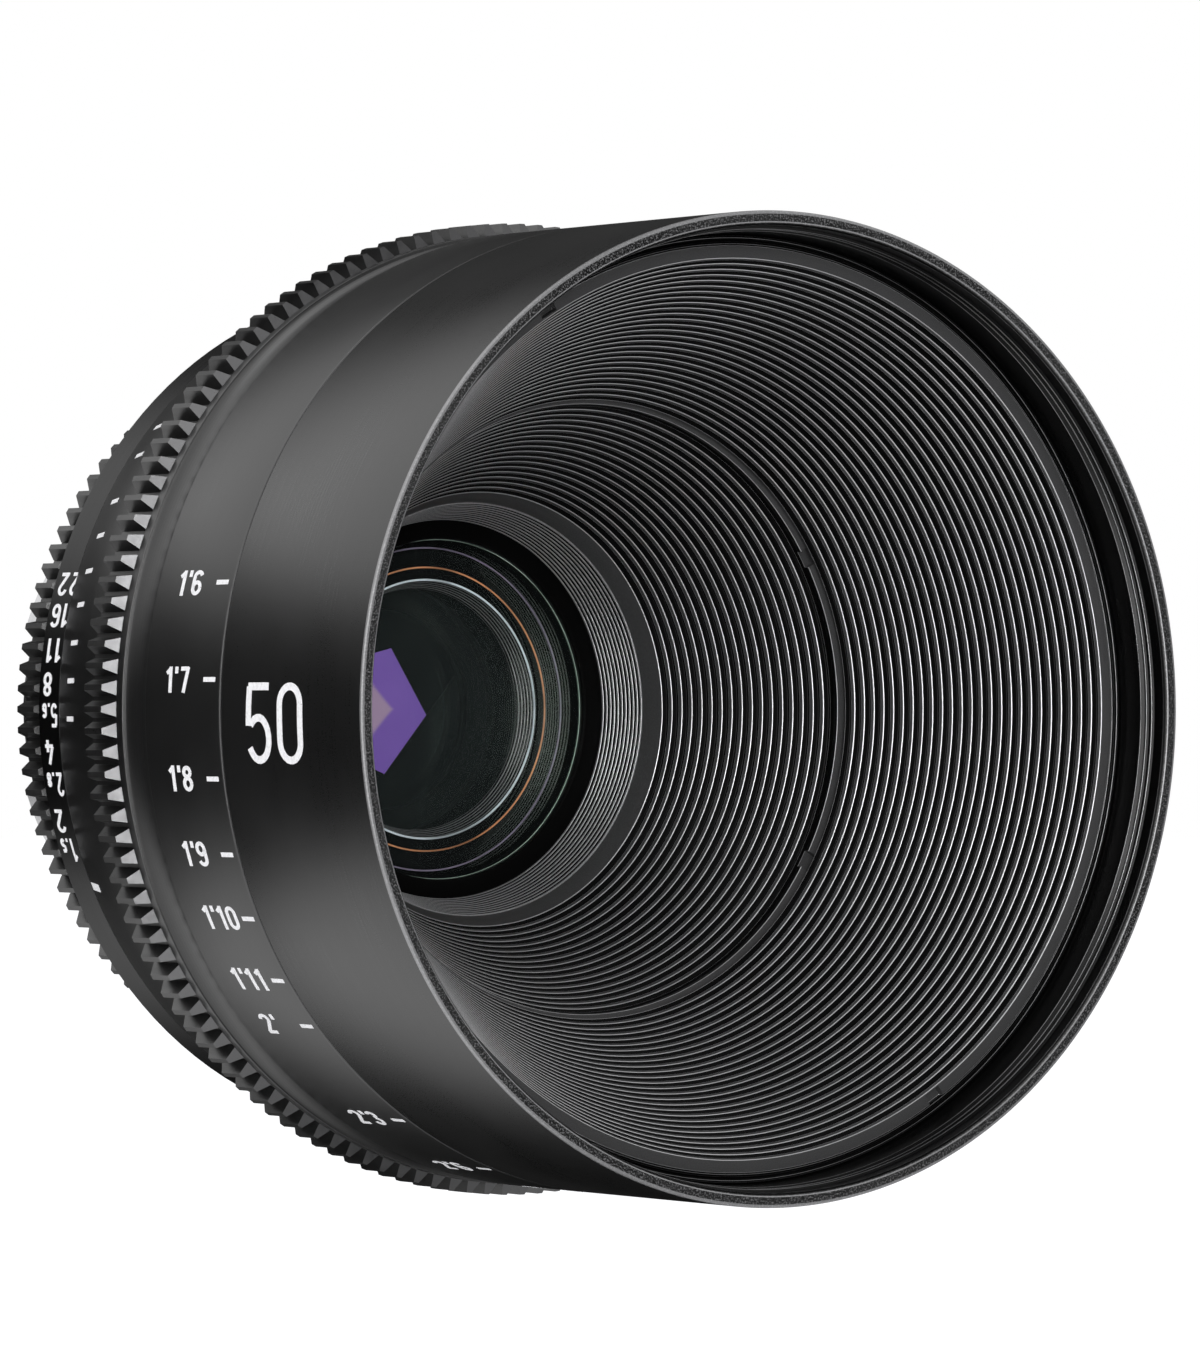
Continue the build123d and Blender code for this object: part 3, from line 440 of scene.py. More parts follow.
# The focus gear's bevels are lighter and more metallic than the iris gear's: a painted highlight
# where they catch the light
bright_gear = cut_gear("focus_gear_black", bevel_level=0.13, bevel_metal=0.95)
black_gear = cut_gear("iris_gear_black", bevel_level=0.02, bevel_metal=0.0)
white_print = print_white("scale_white")
steel = turned_steel("mount_steel")
dark_screw = small_metal("screw_black", (0.03, 0.03, 0.032, 1.0), metallic=0.8, rough=0.35)
brass = small_metal("brass", (0.72, 0.52, 0.25, 1.0), metallic=1.0, rough=0.3)
leaf_black = small_metal("leaf_black", (0.012, 0.014, 0.014, 1.0), metallic=0.3, rough=0.5)
front_glass = coated_glass("front_glass", (0.75, 0.9, 0.8, 1.0), strength=0.16)
inner_glass = coated_glass("inner_glass", (0.6, 0.75, 0.72, 1.0), strength=0.17)
stop_glass = purple_glass("stop_glass")

slot_finishes = {
    "barrel_black": black_barrel, "gear_black": black_gear, "baffle_black": black_cell,
    "mount_steel": steel, "screw_steel": dark_screw, "follower_brass": brass,
    "iris_black": leaf_black, "coated_glass": inner_glass,
}
node_finishes = {"focus_gear": bright_gear, "fourth_element": stop_glass}
for part in frame["record"]["subparts"]:
    node = part["node"]
    mesh = frame["nodes"][node].data
    mesh.materials.clear()
    mesh.materials.append(node_finishes.get(node, slot_finishes[part["material_slot"]]))


# Shapes
def put(name, points, faces, material, body, slot, replaces=(), marks=None):
    """Makes a mesh piece in place, shades it smooth up to an angle and lets it ride; points that
    meet on the axis are merged."""
    merge_distance = 1e-7
    smooth_angle = math.radians(32.0)
    mesh = bpy.data.meshes.new(name)
    mesh.from_pydata(points.tolist(), [], faces.tolist())
    if marks is not None:
        mesh.attributes.new("edge", "FLOAT", "FACE").data.foreach_set("value", marks)
    shape = bmesh.new()
    shape.from_mesh(mesh)
    bmesh.ops.remove_doubles(shape, verts=shape.verts[:], dist=merge_distance)
    shape.to_mesh(mesh)
    shape.free()
    mesh.polygons.foreach_set("use_smooth", np.ones(len(mesh.polygons), bool))
    mesh.set_sharp_from_angle(angle=smooth_angle)
    mesh.materials.append(material)
    piece = bpy.data.objects.new(name, mesh)
    bpy.context.scene.collection.objects.link(piece)
    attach(piece, body)
    if replaces:
        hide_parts(*replaces)


def rounded(corners, bevel):
    """Rounds a closed outline of (depth, radius) corners, or (depth, radius, bevel) with a bevel
    of their own. Each corner gets four points on the quadratic curve between its two cut-back
    ends, cut by the bevel or by a third of the shorter side. A side of the new outline has the
    edge mark on a sharp corner that stands out, the land mark between two sharp corners that
    don't fall in, and 0 elsewhere."""
    sharp_bevel = 0.45
    straight = 1e-9
    here = np.array([corner[:2] for corner in corners], float)
    cut = np.array([corner[2] if len(corner) > 2 else bevel for corner in corners], float)
    next_corner = np.roll(here, -1, axis=0)
    if np.sum(here[:, 0] * next_corner[:, 1] - next_corner[:, 0] * here[:, 1]) < 0:
        here, cut = here[::-1], cut[::-1]
    before = np.roll(here, 1, axis=0) - here
    after = np.roll(here, -1, axis=0) - here
    turn = before[:, 0] * after[:, 1] - before[:, 1] * after[:, 0]
    stands_out = (turn < -straight) & (cut < sharp_bevel)
    on_land = (turn < straight) & (cut < sharp_bevel)
    length_before = np.linalg.norm(before, axis=1)
    length_after = np.linalg.norm(after, axis=1)
    cut = np.minimum(cut, np.minimum(length_before, length_after) / 3)
    start = here + before * (cut / length_before)[:, None]
    end = here + after * (cut / length_after)[:, None]
    share = np.linspace(0, 1, 4)[None, :, None]
    curve = ((1 - share) ** 2 * start[:, None] + 2 * share * (1 - share) * here[:, None]
             + share ** 2 * end[:, None])
    at_corner = np.where(stands_out, edge_mark, land_mark * on_land)
    to_next = land_mark * (on_land & np.roll(on_land, -1))
    return curve.reshape(-1, 2), np.stack([at_corner] * 3 + [to_next], axis=-1).ravel()


def revolved(depths, radius, angle, closed):
    """Revolves an outline about the axis: grid point (i, j) lies at radius_j times the sine and
    cosine of angle_i, at depths_ij. Faces join neighbours all round the axis and along the
    outline, which is closed or runs from one end to the other."""
    rows, columns = depths.shape
    points = np.stack([np.outer(np.sin(angle), radius) * MM, rim_y + depths * MM,
                       np.outer(np.cos(angle), radius) * MM], axis=-1).reshape(-1, 3)
    row = np.arange(rows)[:, None] * columns
    row_next = np.roll(row, -1, axis=0)
    column = np.arange(columns if closed else columns - 1)[None, :]
    column_next = (column + 1) % columns
    faces = np.stack([row + column, row_next + column, row_next + column_next,
                      row + column_next], axis=-1).reshape(-1, 4)
    return points, faces


def turned(name, corners, material, body, slot, replaces=(), bevel=0.12, segments=360,
           notches=()):
    """Revolves a closed outline with rounded corners. A notch is (angle, width, inner, outer,
    front, floor), with the angle in degrees from +X up to +Z: there, points between the two
    radii that lie before the floor go back to it."""
    outline, marks = rounded(corners, bevel)
    depth, radius = outline.T
    angle = np.linspace(0, 2 * np.pi, segments, endpoint=False)
    cuts = []
    for turn, width, inner, outer, front, floor in notches:
        middle = math.radians(90 - turn)
        half = width / (inner + outer)
        angle = np.append(angle, middle + half * np.array([-1.02, -0.98, 0.98, 1.02]))
        column = (radius > inner) & (radius < outer) & (depth < floor) & (depth > front - 0.1)
        cuts.append((middle, half, column, floor))
    angle = np.unique(np.round(angle % (2 * np.pi), 9))
    depths = np.tile(depth, (len(angle), 1))
    for middle, half, column, floor in cuts:
        inside = (angle - middle + half) % (2 * np.pi) < 2 * half
        depths[np.ix_(inside, column)] = floor
    points, faces = revolved(depths, radius, angle, closed=True)
    put(name, points, faces, material, body, slot, replaces, marks=np.tile(marks, len(angle)))


def ribs(front, mouth, rear, throat, count, drop, crest_share):
    """Corners of a ribbed cone: on each pitch a flat crest, a short face down to the root, a flat
    root and a short face up to the next crest."""
    slope_share = 0.08
    root_end = 0.9
    profile = ((0.0, 0.0), (crest_share, 0.0), (crest_share + slope_share, drop), (root_end, drop))
    pitch = (rear - front) / count
    fall = (throat - mouth) / count
    corners = [(front + (rib + share) * pitch, mouth + (rib + share) * fall + sunk)
               for rib in range(count) for share, sunk in profile]
    return corners + [(rear, throat)]


def sag(curve, radius):
    """How far a spherical surface has fallen back at a radius."""
    return curve - np.sqrt(curve * curve - radius * radius)


# The two baffles
cone_wall = 1.75
cone_rib_depth = 0.6
cone_crest_share = 0.36
spanner_notch_width = 2.2
spanner_notch_depth = 0.8

# Clear radius before the second element and the radius of its front face
doublet_clear = 17.4
doublet_curve = 45.0


def make_front_barrel():
    """Hood with the last turns of its filter thread and a grooved ledge before the baffle."""
    rim_width = 1.35
    rim_bevel = 0.4
    rim_chamfer = 0.5
    rear_bevel = 0.06
    thread_radius = barrel_radius - 1.7
    thread_height = 0.35
    thread_places = (2.2, 3.2)
    thread_bevel = 0.08
    thread_end = thread_places[-1] + 0.7
    hood_front = thread_places[-1] + 1.0
    hood_radius = barrel_radius - 2.2
    sleeve_seat = barrel_radius - 2.0
    ledge = baffle_front + 0.4
    ledge_rear = ledge + 2.6
    sleeve_stop = ledge + 4.6
    crest = ledge - 0.3
    corners = [(0.0, barrel_radius, rim_bevel), (barrel_rear, barrel_radius, rear_bevel),
               (barrel_rear, sleeve_seat), (sleeve_stop, sleeve_seat),
               (ledge_rear, baffle_radius - 0.9), (ledge_rear, baffle_radius),
               (ledge, baffle_radius), (crest, baffle_radius + 0.15),
               (crest, baffle_radius + 0.45), (ledge, baffle_radius + 0.55),
               (ledge, baffle_radius + 0.75), (crest, baffle_radius + 0.85),
               (crest, hood_radius - 0.3), (ledge, hood_radius), (hood_front, hood_radius),
               (thread_end, thread_radius)]
    for place in reversed(thread_places):
        corners += [(place + 0.42, thread_radius),
                    (place + 0.28, thread_radius - thread_height, thread_bevel),
                    (place + 0.1, thread_radius - thread_height, thread_bevel),
                    (place - 0.05, thread_radius)]
    corners += [(rim_chamfer, thread_radius), (0.0, barrel_radius - rim_width, 0.1)]
    turned("front_barrel_shell", corners, black_barrel, "lens_body", "barrel_black",
           ["front_barrel"], bevel=0.05, segments=320)


def make_front_baffle():
    """Outer cone of the hood with its ribs, its flat flange and two notches for a pin spanner."""
    mouth = 51.9
    throat = 36.7
    rib_count = 26
    flange_length = 3.0
    cone_slope = 15.2 / 31.1
    notch_angles = (121.0, 301.0)
    cone = ribs(baffle_front, mouth, baffle_rear, throat, rib_count, cone_rib_depth,
                cone_crest_share)
    flange_rear = baffle_front + flange_length
    corners = cone + [
        (baffle_rear, throat + cone_wall),
        (flange_rear, mouth + cone_wall - flange_length * cone_slope),
        (flange_rear, baffle_radius), (baffle_front, baffle_radius), (baffle_front, mouth + 0.3)]
    notches = [(turn, spanner_notch_width, mouth + 0.25, baffle_radius + 0.1, baffle_front,
                baffle_front + spanner_notch_depth) for turn in notch_angles]
    turned("front_baffle_ribs", corners, black_baffle, "lens_body", "baffle_black",
           ["front_baffle"], bevel=0.07, segments=200, notches=notches)


def make_inner_baffle():
    """Inner cone that moves with the glass: lip, ribs, smooth waist and a flange at the back."""
    mouth = 36.2
    waist = 26.3
    throat = 25.1
    rib_count = 17
    lip_width = 0.8
    waist_length = 2.6
    flange_front = inner_rear - 3.8
    notch_angles = (30.0, -30.0, 150.0, 210.0)
    front = inner_front + lip_width
    cone = ribs(front, mouth, inner_rear - waist_length, waist, rib_count, cone_rib_depth,
                cone_crest_share)
    corners = [(inner_front, mouth)] + cone + [
        (inner_rear, throat), (inner_rear, inner_flange_radius),
        (flange_front, inner_flange_radius), (flange_front, waist + cone_wall + 0.55),
        (front, mouth + cone_wall), (inner_front, mouth + cone_wall)]
    notches = [(turn, spanner_notch_width, mouth - 1.0, mouth + cone_wall + 1.0, inner_front,
                inner_front + spanner_notch_depth) for turn in notch_angles]
    turned("inner_baffle_ribs", corners, black_baffle, "focus_carriage", "baffle_black",
           ["inner_baffle"], bevel=0.07, segments=240, notches=notches)


def make_element_retainer():
    """Screw ring before the glass with fine ribs and a round lip."""
    mouth = 25.0
    throat = 23.0
    lip = 20.8
    lip_bevel = 0.5
    rib_end = inner_rear + 6.3
    cone = ribs(inner_rear, mouth, rib_end, throat, count=11, drop=0.3, crest_share=0.4)
    corners = cone + [(rib_end, lip, lip_bevel), (retainer_rear, lip, lip_bevel),
                      (retainer_rear, retainer_radius), (inner_rear, retainer_radius)]
    turned("element_retainer_ribs", corners, bright_ribs, "focus_carriage", "baffle_black",
           ["element_retainer"], bevel=0.05)


def make_front_cell():
    """Cell behind the front glass, with the finely ribbed bore that shows through the glass. The
    bore is as narrow as the glass makes it look, and ends on the second element's face."""
    second_front = front_of("second_element")
    seat = second_front + sag(doublet_curve, doublet_clear)
    mouth = 15.9
    throat = 14.8
    rib_rear = second_front + sag(doublet_curve, throat) - 0.02
    tube = ribs(glass_rear, mouth, rib_rear, throat, count=6, drop=0.3, crest_share=0.4)
    corners = [(cell_front, inner_flange_radius), (cell_front, cell_radius),
               (cell_rear, cell_radius), (cell_rear, doublet_radius), (seat, doublet_radius),
               (seat, doublet_clear)] + tube[::-1] + [
               (glass_rear, glass_radius), (retainer_rear, glass_radius),
               (retainer_rear, retainer_radius), (inner_rear, retainer_radius),
               (inner_rear, inner_flange_radius)]
    turned("front_cell_bore", corners, black_bore, "focus_carriage", "baffle_black",
           ["front_cell"], bevel=0.05)


def make_lips():
    """Lips that show through the front glass as thin coloured arcs, coloured as painted reflections
    of the coatings: each is a ring whose front face stands a little before the seat behind the
    glass, or before the glass's own edge."""
    reach = 0.12
    root = 0.02
    # Lip colours: painted coloured reflections
    for name, inner, outer, seat, colour in (
            ("lip_blue", 15.75, 16.0, glass_rear, (0.85, 0.93, 1.0, 1.0)),
            ("lip_orange", 17.3, 17.5, glass_rear, (0.85, 0.36, 0.17, 1.0)),
            ("lip_violet", 19.7, 19.9, glass_rear, (0.26, 0.22, 0.31, 1.0)),
            ("lip_green", 20.72, 20.8, retainer_rear, (0.45, 0.6, 0.5, 1.0))):
        corners = [(seat - reach, inner), (seat - reach, outer), (seat + root, outer),
                   (seat + root, inner)]
        turned(name, corners, painted_glint_lip(name, colour), "focus_carriage", "coated_glass",
               bevel=0.03)


def make_front_glass():
    """Front element: two spherical faces, revolved from a half outline that ends on the axis. The
    depth of each face is its vertex plus the sag at that radius."""
    front_curve, rear_curve = 60.0, 200.0
    front_clear, rear_clear = glass_radius - 0.65, glass_radius - 1.75
    edge_radius = glass_radius - 0.02
    face_points = 40
    segments = 240
    rear_vertex = glass_rear - sag(rear_curve, rear_clear)
    across = np.linspace(0, front_clear, face_points)
    back = np.linspace(rear_clear, 0, face_points)
    outline = np.concatenate([
        np.stack([glass_front + sag(front_curve, across), across], axis=-1),
        [[retainer_rear, edge_radius], [glass_rear, edge_radius]],
        np.stack([rear_vertex + sag(rear_curve, back), back], axis=-1)])
    depth, radius = outline[::-1].T
    angle = np.linspace(0, 2 * np.pi, segments, endpoint=False)
    points, faces = revolved(np.tile(depth, (segments, 1)), radius, angle, closed=False)
    put("front_glass", points, faces, front_glass, "focus_carriage", "coated_glass",
        ["front_element"])


def make_focus_ring():
    """Scale barrel, shallow scallop and gear flange of the focus ring."""
    bore = barrel_radius - 2.95
    gear_seat = barrel_radius - 1.4
    scale_end = focus_front + 16.6
    scallop_end = scale_end + 5.3
    scallop_depth = 1.0
    scallop_bevel = 0.02
    middle = (scale_end + scallop_end) / 2
    half = (scallop_end - scale_end) / 2
    scallop = [(middle - half * math.cos(turn), barrel_radius - scallop_depth * math.sin(turn),
                scallop_bevel) for turn in np.linspace(0, np.pi, 17)[1:-1]]
    corners = [(focus_front, bore), (focus_front, barrel_radius, 0.3),
               (scale_end, barrel_radius)] + scallop + [
               (scallop_end, barrel_radius), (focus_gear_front, barrel_radius, 0.1),
               (focus_gear_front, gear_seat), (focus_rear, gear_seat), (focus_rear, bore)]
    turned("focus_ring_barrel", corners, black_ring, "focus_ring", "barrel_black",
           ["focus_ring"], segments=320)


def make_index_ring():
    """Cone between the two gears that carries the index marks."""
    sleeve = 54.0
    tail = index_rear_radius - 1.4
    step = index_front + 3.1
    corners = [(index_front, sleeve), (index_front, index_front_radius),
               (index_rear, index_rear_radius), (index_rear, tail), (step, tail), (step, sleeve)]
    turned("index_ring_cone", corners, black_ring, "lens_body", "barrel_black", ["index_ring"],
           bevel=0.15, segments=320)


def make_rear_barrel():
    """Rear barrel as the frame has it, but slimmer behind the iris ring, so that the gear's teeth
    stand clear of it. A point is on the outside where it lies less than a millimetre within the
    outline of the frame's drum and cone."""
    source = frame["nodes"]["rear_barrel"]
    points = np.array([source.matrix_world @ vertex.co for vertex in source.data.vertices])
    faces = np.array([face.vertices[:] for face in source.data.polygons])
    depth = (points[:, 1] - rim_y) / MM
    radius = np.hypot(points[:, 0], points[:, 2]) / MM
    rear = rear_of("rear_barrel")
    places = [iris_rear + 0.3, iris_rear + 3.5, rear - 1.7, rear]
    outline = np.interp(depth, places, [43.0, 43.0, 35.6, 34.2])
    slimming = np.interp(depth, places, [1.4, 1.6, 1.5, 0.9])
    outside = (depth > iris_rear + 0.2) & (radius > outline - 1.0)
    points[:, ::2] *= (1 - outside * slimming / radius)[:, None]
    put("rear_barrel_cone", points, faces, black_ring, "lens_body", "barrel_black",
        ["rear_barrel"])


make_front_barrel()
make_front_baffle()
make_inner_baffle()
make_element_retainer()
make_front_cell()
make_lips()
make_front_glass()
make_focus_ring()
make_index_ring()
make_rear_barrel()


# Scales
def arc(centre, reach, start, end):
    """Points on an ellipse about a centre, between two angles in degrees."""
    angle = np.radians(np.linspace(start, end, 17))
    return np.stack([centre[0] + reach[0] * np.cos(angle),
                     centre[1] + reach[1] * np.sin(angle)], axis=-1)


def numeral_strokes(pen):
    """Pen paths of the numerals, one unit high, for a pen of this width: straight runs and half
    ellipses."""
    half = 0.19
    low, high = pen / 2, 1 - pen / 2
    line = np.array
    bowl = arc((0, 0.3), (half, 0.3 - low), 0, 360)
    six_neck = np.concatenate([arc((0, 0.74), (half, high - 0.74), 15, 180), [[-half, 0.3]]])
    six = [bowl, six_neck]
    return {
        "0": [np.concatenate([arc((0, high - 0.22), (half, 0.22), 0, 180),
                              arc((0, low + 0.22), (half, 0.22), 180, 360),
                              [[half, high - 0.22]]])],
        "1": [line([[0.05, 0.0], [0.05, 1.0]]), line([[0.05, high], [-0.15, high - 0.17]])],
        "2": [np.concatenate([arc((0, 0.72), (half, high - 0.72), 175, -32),
                              [[-half + 0.03, low]]]),
              line([[-half - 0.03, low], [half + 0.05, low]])],
        "3": [arc((0, 0.74), (half * 0.92, high - 0.74), 165, -85),
              arc((0, 0.3), (half, 0.3 - low), 85, -165)],
        "4": [line([[0.06, 1.0], [-half, 0.27]]), line([[-half - 0.03, 0.25], [half + 0.07, 0.25]]),
              line([[0.1, 0.0], [0.1, 0.5]])],
        "5": [line([[-half, high], [half, high]]), line([[-half + 0.02, high], [-half, 0.47]]),
              arc((0, 0.31), (half, 0.31 - low), 140, -155)],
        "6": six,
        "7": [line([[-half - 0.02, high], [half + 0.02, high]]),
              line([[half, 0.98], [-0.05, 0.0]])],
        "8": [arc((0, 0.745), (half * 0.9, high - 0.745), 0, 360), bowl],
        "9": [[0.0, 1.0] - path for path in six],
        "'": [line([[0.0, 1.0], [0.0, 0.74]])],
        ".": [line([[0.0, 0.0], [0.0, pen]])],
    }


def stroke(path, pen):
    """Carries a flat oblong section along a pen path, cut into short steps so that it can bend:
    across the path it reaches half the pen to each side, and its two faces lie at heights 0
    and 1."""
    step = 0.05
    path = np.asarray(path, float)
    runs = np.linalg.norm(np.diff(path, axis=0), axis=1)
    along = np.concatenate([[0.0], np.cumsum(runs)])
    place = np.linspace(0, along[-1], max(2, int(along[-1] / step) + 1))
    path = np.stack([np.interp(place, along, path[:, 0]),
                     np.interp(place, along, path[:, 1])], axis=-1)
    run = np.gradient(path, axis=0)
    normal = np.stack([-run[:, 1], run[:, 0]], axis=-1)
    side = normal / np.linalg.norm(run, axis=1)[:, None] * pen / 2
    corner = np.array([[-1, 0], [1, 0], [1, 1], [-1, 1]])
    flat = path[:, None] + side[:, None] * corner[None, :, :1]
    height = np.broadcast_to(corner[None, :, 1:], flat.shape[:2] + (1,))
    points = np.concatenate([flat, height], axis=-1)
    ring = np.arange(len(path) - 1)[:, None] * 4
    turn = np.arange(4)[None, :]
    turn_next = (turn + 1) % 4
    faces = np.stack([ring + turn, ring + turn_next, ring + 4 + turn_next, ring + 4 + turn],
                     axis=-1).reshape(-1, 4)
    last = (len(path) - 1) * 4
    caps = np.array([[3, 2, 1, 0], [last, last + 1, last + 2, last + 3]])
    return points.reshape(-1, 3), np.concatenate([faces, caps])


def joined(shapes):
    """Joins meshes given as (points, faces)."""
    starts = np.cumsum([0] + [len(points) for points, faces in shapes[:-1]])
    return (np.concatenate([points for points, faces in shapes]),
            np.concatenate([faces + start for start, (points, faces) in zip(starts, shapes)]))


def lettering(words, height, pen, spread, gap, align):
    """A number in millimetres along u and v: each numeral stands a gap after the last, those after
    a point are smaller, and all are widened by the spread. Pen and gap are shares of the height.
    Aligned -1 it starts at u 0, 0 it is centred and 1 it ends there."""
    after_one = 0.08
    small_size = 0.62
    shapes = []
    reach = 0.0
    size = 1.0
    for sign in words:
        own_pen = pen / size
        paths = numeral_strokes(own_pen)[sign]
        left = min(np.min(path[:, 0]) for path in paths) - own_pen / 2
        right = max(np.max(path[:, 0]) for path in paths) + own_pen / 2
        if sign == "1":
            right += after_one
        for path in paths:
            points, faces = stroke(path, own_pen)
            shapes.append(((points - [left, 0, 0]) * [size, size, 1] + [reach, 0, 0], faces))
        reach += (right - left + gap) * size
        if sign == ".":
            size = small_size
    points, faces = joined(shapes)
    points[:, 0] = (points[:, 0] - (reach - gap) * (align + 1) / 2) * spread * height
    points[:, 1] = (points[:, 1] - 0.5) * height
    return points, faces


def dash(length, width):
    """A dash in millimetres, centred."""
    return stroke([[-length / 2, 0.0], [length / 2, 0.0]], width)


def wrapped(flat, depth, below, radius_at, turned_back=False):
    """Wraps a flat mesh on the -X side: u runs towards the front and v up, from a depth and an
    angle in degrees below the side; turned back, both run the other way. The radius is the
    surface's at that depth plus the lift, the angle is v over the radius, and a height of 0 or 1
    is the low or high lift."""
    low_lift, high_lift = -0.05, 0.03
    points, faces = flat
    sign = -1.0 if turned_back else 1.0
    at_depth = depth - sign * points[:, 0]
    radius = radius_at(at_depth) + low_lift + (high_lift - low_lift) * points[:, 2]
    angle = math.radians(below) - sign * points[:, 1] / radius_at(np.array([depth]))
    placed = np.stack([-radius * np.cos(angle) * MM, rim_y + at_depth * MM,
                       -radius * np.sin(angle) * MM], axis=-1)
    return placed, faces


def on_barrel(depth):
    return np.full(len(depth), barrel_radius)


def on_index_cone(depth):
    share = (depth - index_front) / (index_rear - index_front)
    return index_front_radius + share * (index_rear_radius - index_front_radius)


def on_iris_band(depth):
    return np.full(len(depth), iris_radius)


# Angles of the marks in degrees below the -X side, measured in the photograph. It hides the last
# focus mark, which follows the others.
focus_marks = {"1'6": -14.7, "1'7": -3.4, "1'8": 8.0, "1'9": 16.9, "1'10": 24.8, "1'11": 33.0,
               "2'": 39.6, "2'3": 56.4, "2'6": 69.8, "3'": 83.0}
stop_marks = {"22": -16.8, "16": -12.5, "11": -7.8, "8": -3.3, "5.6": 0.8, "4": 5.7, "2.8": 10.0,
              "2": 15.0, "1.5": 19.0}
index_marks = (-39.6, -34.9, -27.85, -22.95, -18.05, -13.55, -8.55, -3.65, 1.25)
thick_index_mark = 23.9


def make_scales():
    """The three scales and the focal length, filled white."""
    focus_dash = focus_front + 2.4
    focus_number = focus_front + 12.2
    stop_number = iris_front + 4.1
    index_dash = index_front + 11.6
    thick_index_dash = index_front + 14.2
    focal_number = 18.5
    focal_number_angle = 1.6

    focus_scale = []
    for label, below in focus_marks.items():
        number = lettering(label, height=3.0, pen=0.16, spread=1.36, gap=0.08, align=-1)
        focus_scale.append(wrapped(number, focus_number, below, on_barrel))
        focus_scale.append(wrapped(dash(2.6, 0.55), focus_dash, below, on_barrel))
    put("focus_scale", *joined(focus_scale), white_print, "focus_ring", "barrel_black")

    stop_scale = []
    for label, below in stop_marks.items():
        spread = 0.95 if "." in label else 1.3
        number = lettering(label, height=2.9, pen=0.15, spread=spread, gap=0.11, align=1)
        stop_scale.append(wrapped(number, stop_number, below, on_iris_band, turned_back=True))
    put("stop_scale", *joined(stop_scale), white_print, "iris_ring", "barrel_black")

    index_scale = [wrapped(dash(2.4, 0.6), index_dash, below, on_index_cone)
                   for below in index_marks]
    index_scale.append(wrapped(dash(2.6, 1.0), thick_index_dash, thick_index_mark,
                               on_index_cone))
    put("index_scale", *joined(index_scale), white_print, "lens_body", "barrel_black")

    number = lettering("50", height=9.2, pen=0.095, spread=1.24, gap=0.115, align=0)
    put("focal_number", *wrapped(number, focal_number, focal_number_angle, on_barrel),
        white_print, "lens_body", "barrel_black")


make_scales()


# Room, in metres
def make_floor():
    """Pale floor below the lens, white to the camera where no shadow falls."""
    radius = 6.0
    height = -0.12
    sides = 96
    angle = np.linspace(0, 2 * np.pi, sides, endpoint=False)
    points = np.stack([radius * np.cos(angle), radius * np.sin(angle), np.full(sides, height)],
                      axis=-1)
    mesh = bpy.data.meshes.new("floor")
    mesh.from_pydata(points.tolist(), [], [list(range(sides))])
    floor = bpy.data.objects.new("floor", mesh)
    bpy.context.scene.collection.objects.link(floor)
    material, paint = finish("floor_pale")
    ray = paint.node("ShaderNodeLightPath")
    matt = paint.node("ShaderNodeBsdfDiffuse", inputs={"Color": grey(0.9)}).out(0)
    glow = {"Color": grey(1.0), "Strength": 1.35}
    white = paint.node("ShaderNodeEmission", inputs=glow).out(0)
    through = paint.node("ShaderNodeBsdfTransparent").out(0)
    seen = paint.blend(ray.out("Is Camera Ray") * 0.6, matt, white)
    paint.surface(paint.blend(ray.out("Is Glossy Ray"), seen, through))
    mesh.materials.append(material)


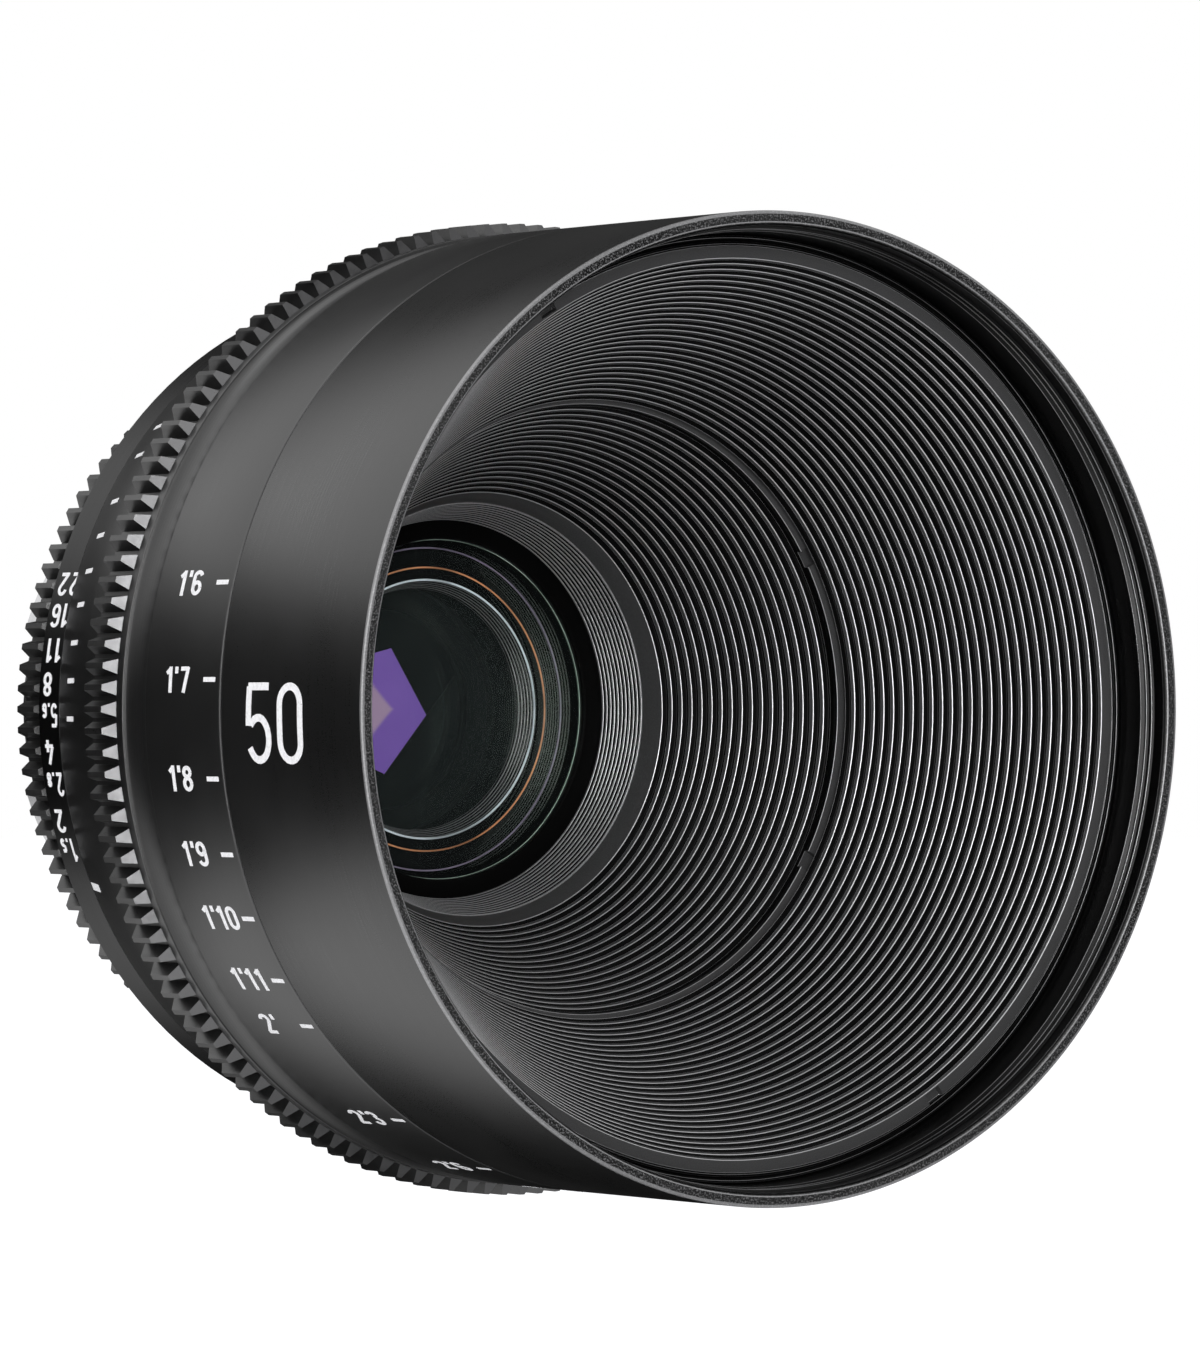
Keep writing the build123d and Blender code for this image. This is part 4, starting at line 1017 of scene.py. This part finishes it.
def area_light(name, direction, size, radiance):
    """Softbox at a direction from the lens; its power gives the wanted radiance."""
    distance = 2.2
    light = bpy.data.lights.new(name, "AREA")
    light.shape = "RECTANGLE"
    light.size, light.size_y = size
    light.energy = radiance * math.pi * size[0] * size[1]
    lamp = bpy.data.objects.new(name, light)
    aim = Vector(direction).normalized()
    lamp.location = aim * distance
    lamp.rotation_mode = "QUATERNION"
    lamp.rotation_quaternion = aim.to_track_quat("Z", "Y")
    bpy.context.scene.collection.objects.link(lamp)


def make_world():
    """White room. Mirrored in the lens it is white above and below on the left, dark to the back
    right and dim to the right, and has a dark band round the horizon, as between two
    softboxes."""
    world = bpy.data.worlds.new("room")
    bpy.context.scene.world = world
    world.use_nodes = True
    paint = Paint(world.node_tree)
    ray = paint.node("ShaderNodeLightPath")
    glossy = ray.out("Is Glossy Ray")
    view = paint.node("ShaderNodeTexCoord").out("Generated")
    direction = paint.node("ShaderNodeSeparateXYZ", inputs={0: view})
    across, along, up = [direction.out(axis) for axis in range(3)]
    left = (across * -1.0).step(-0.2, 0.3) * 1.3
    right = across.step(0.2, 0.6) * (1 - along.step(0.1, 0.45)) * 0.9
    above = up.step(-0.1, 0.3) * 0.04
    horizon = abs(up + 0.045).step(0.22, 0.38)
    mirrored = horizon * (left + right + above) + 0.008
    seen = (ray.out("Is Camera Ray") + ray.out("Is Transmission Ray")).clamped()
    strength = seen + (1 - seen) * (glossy * mirrored + (1 - glossy) * 0.7)
    inputs = {"Color": (1.0, 1.0, 1.0, 1.0), "Strength": strength}
    background = paint.node("ShaderNodeBackground", inputs=inputs)
    paint.node("ShaderNodeOutputWorld", inputs={"Surface": background.out(0)})


def make_camera():
    camera = bpy.data.cameras.new("camera")
    camera.sensor_width = sensor_width
    camera.lens = focal_pixels * sensor_width / image_height
    camera.shift_y = (centre_row - image_height / 2) / image_height
    camera.clip_start = 0.05
    camera.clip_end = 50.0
    holder = bpy.data.objects.new("camera", camera)
    holder.location = camera_place
    holder.rotation_euler = (math.pi / 2, 0.0, math.radians(camera_azimuth))
    bpy.context.scene.collection.objects.link(holder)
    bpy.context.scene.camera = holder


make_floor()
make_world()
area_light("key_box", (-0.41, -0.91, 0.0), size=(0.6, 1.8), radiance=13.0)
area_light("side_box", (-0.84, -0.54, 0.0), size=(0.35, 1.5), radiance=5.0)
area_light("top_box", (0.0, 0.3, 1.0), size=(1.6, 1.6), radiance=1.0)
make_camera()
bpy.context.scene.view_settings.view_transform = "Standard"
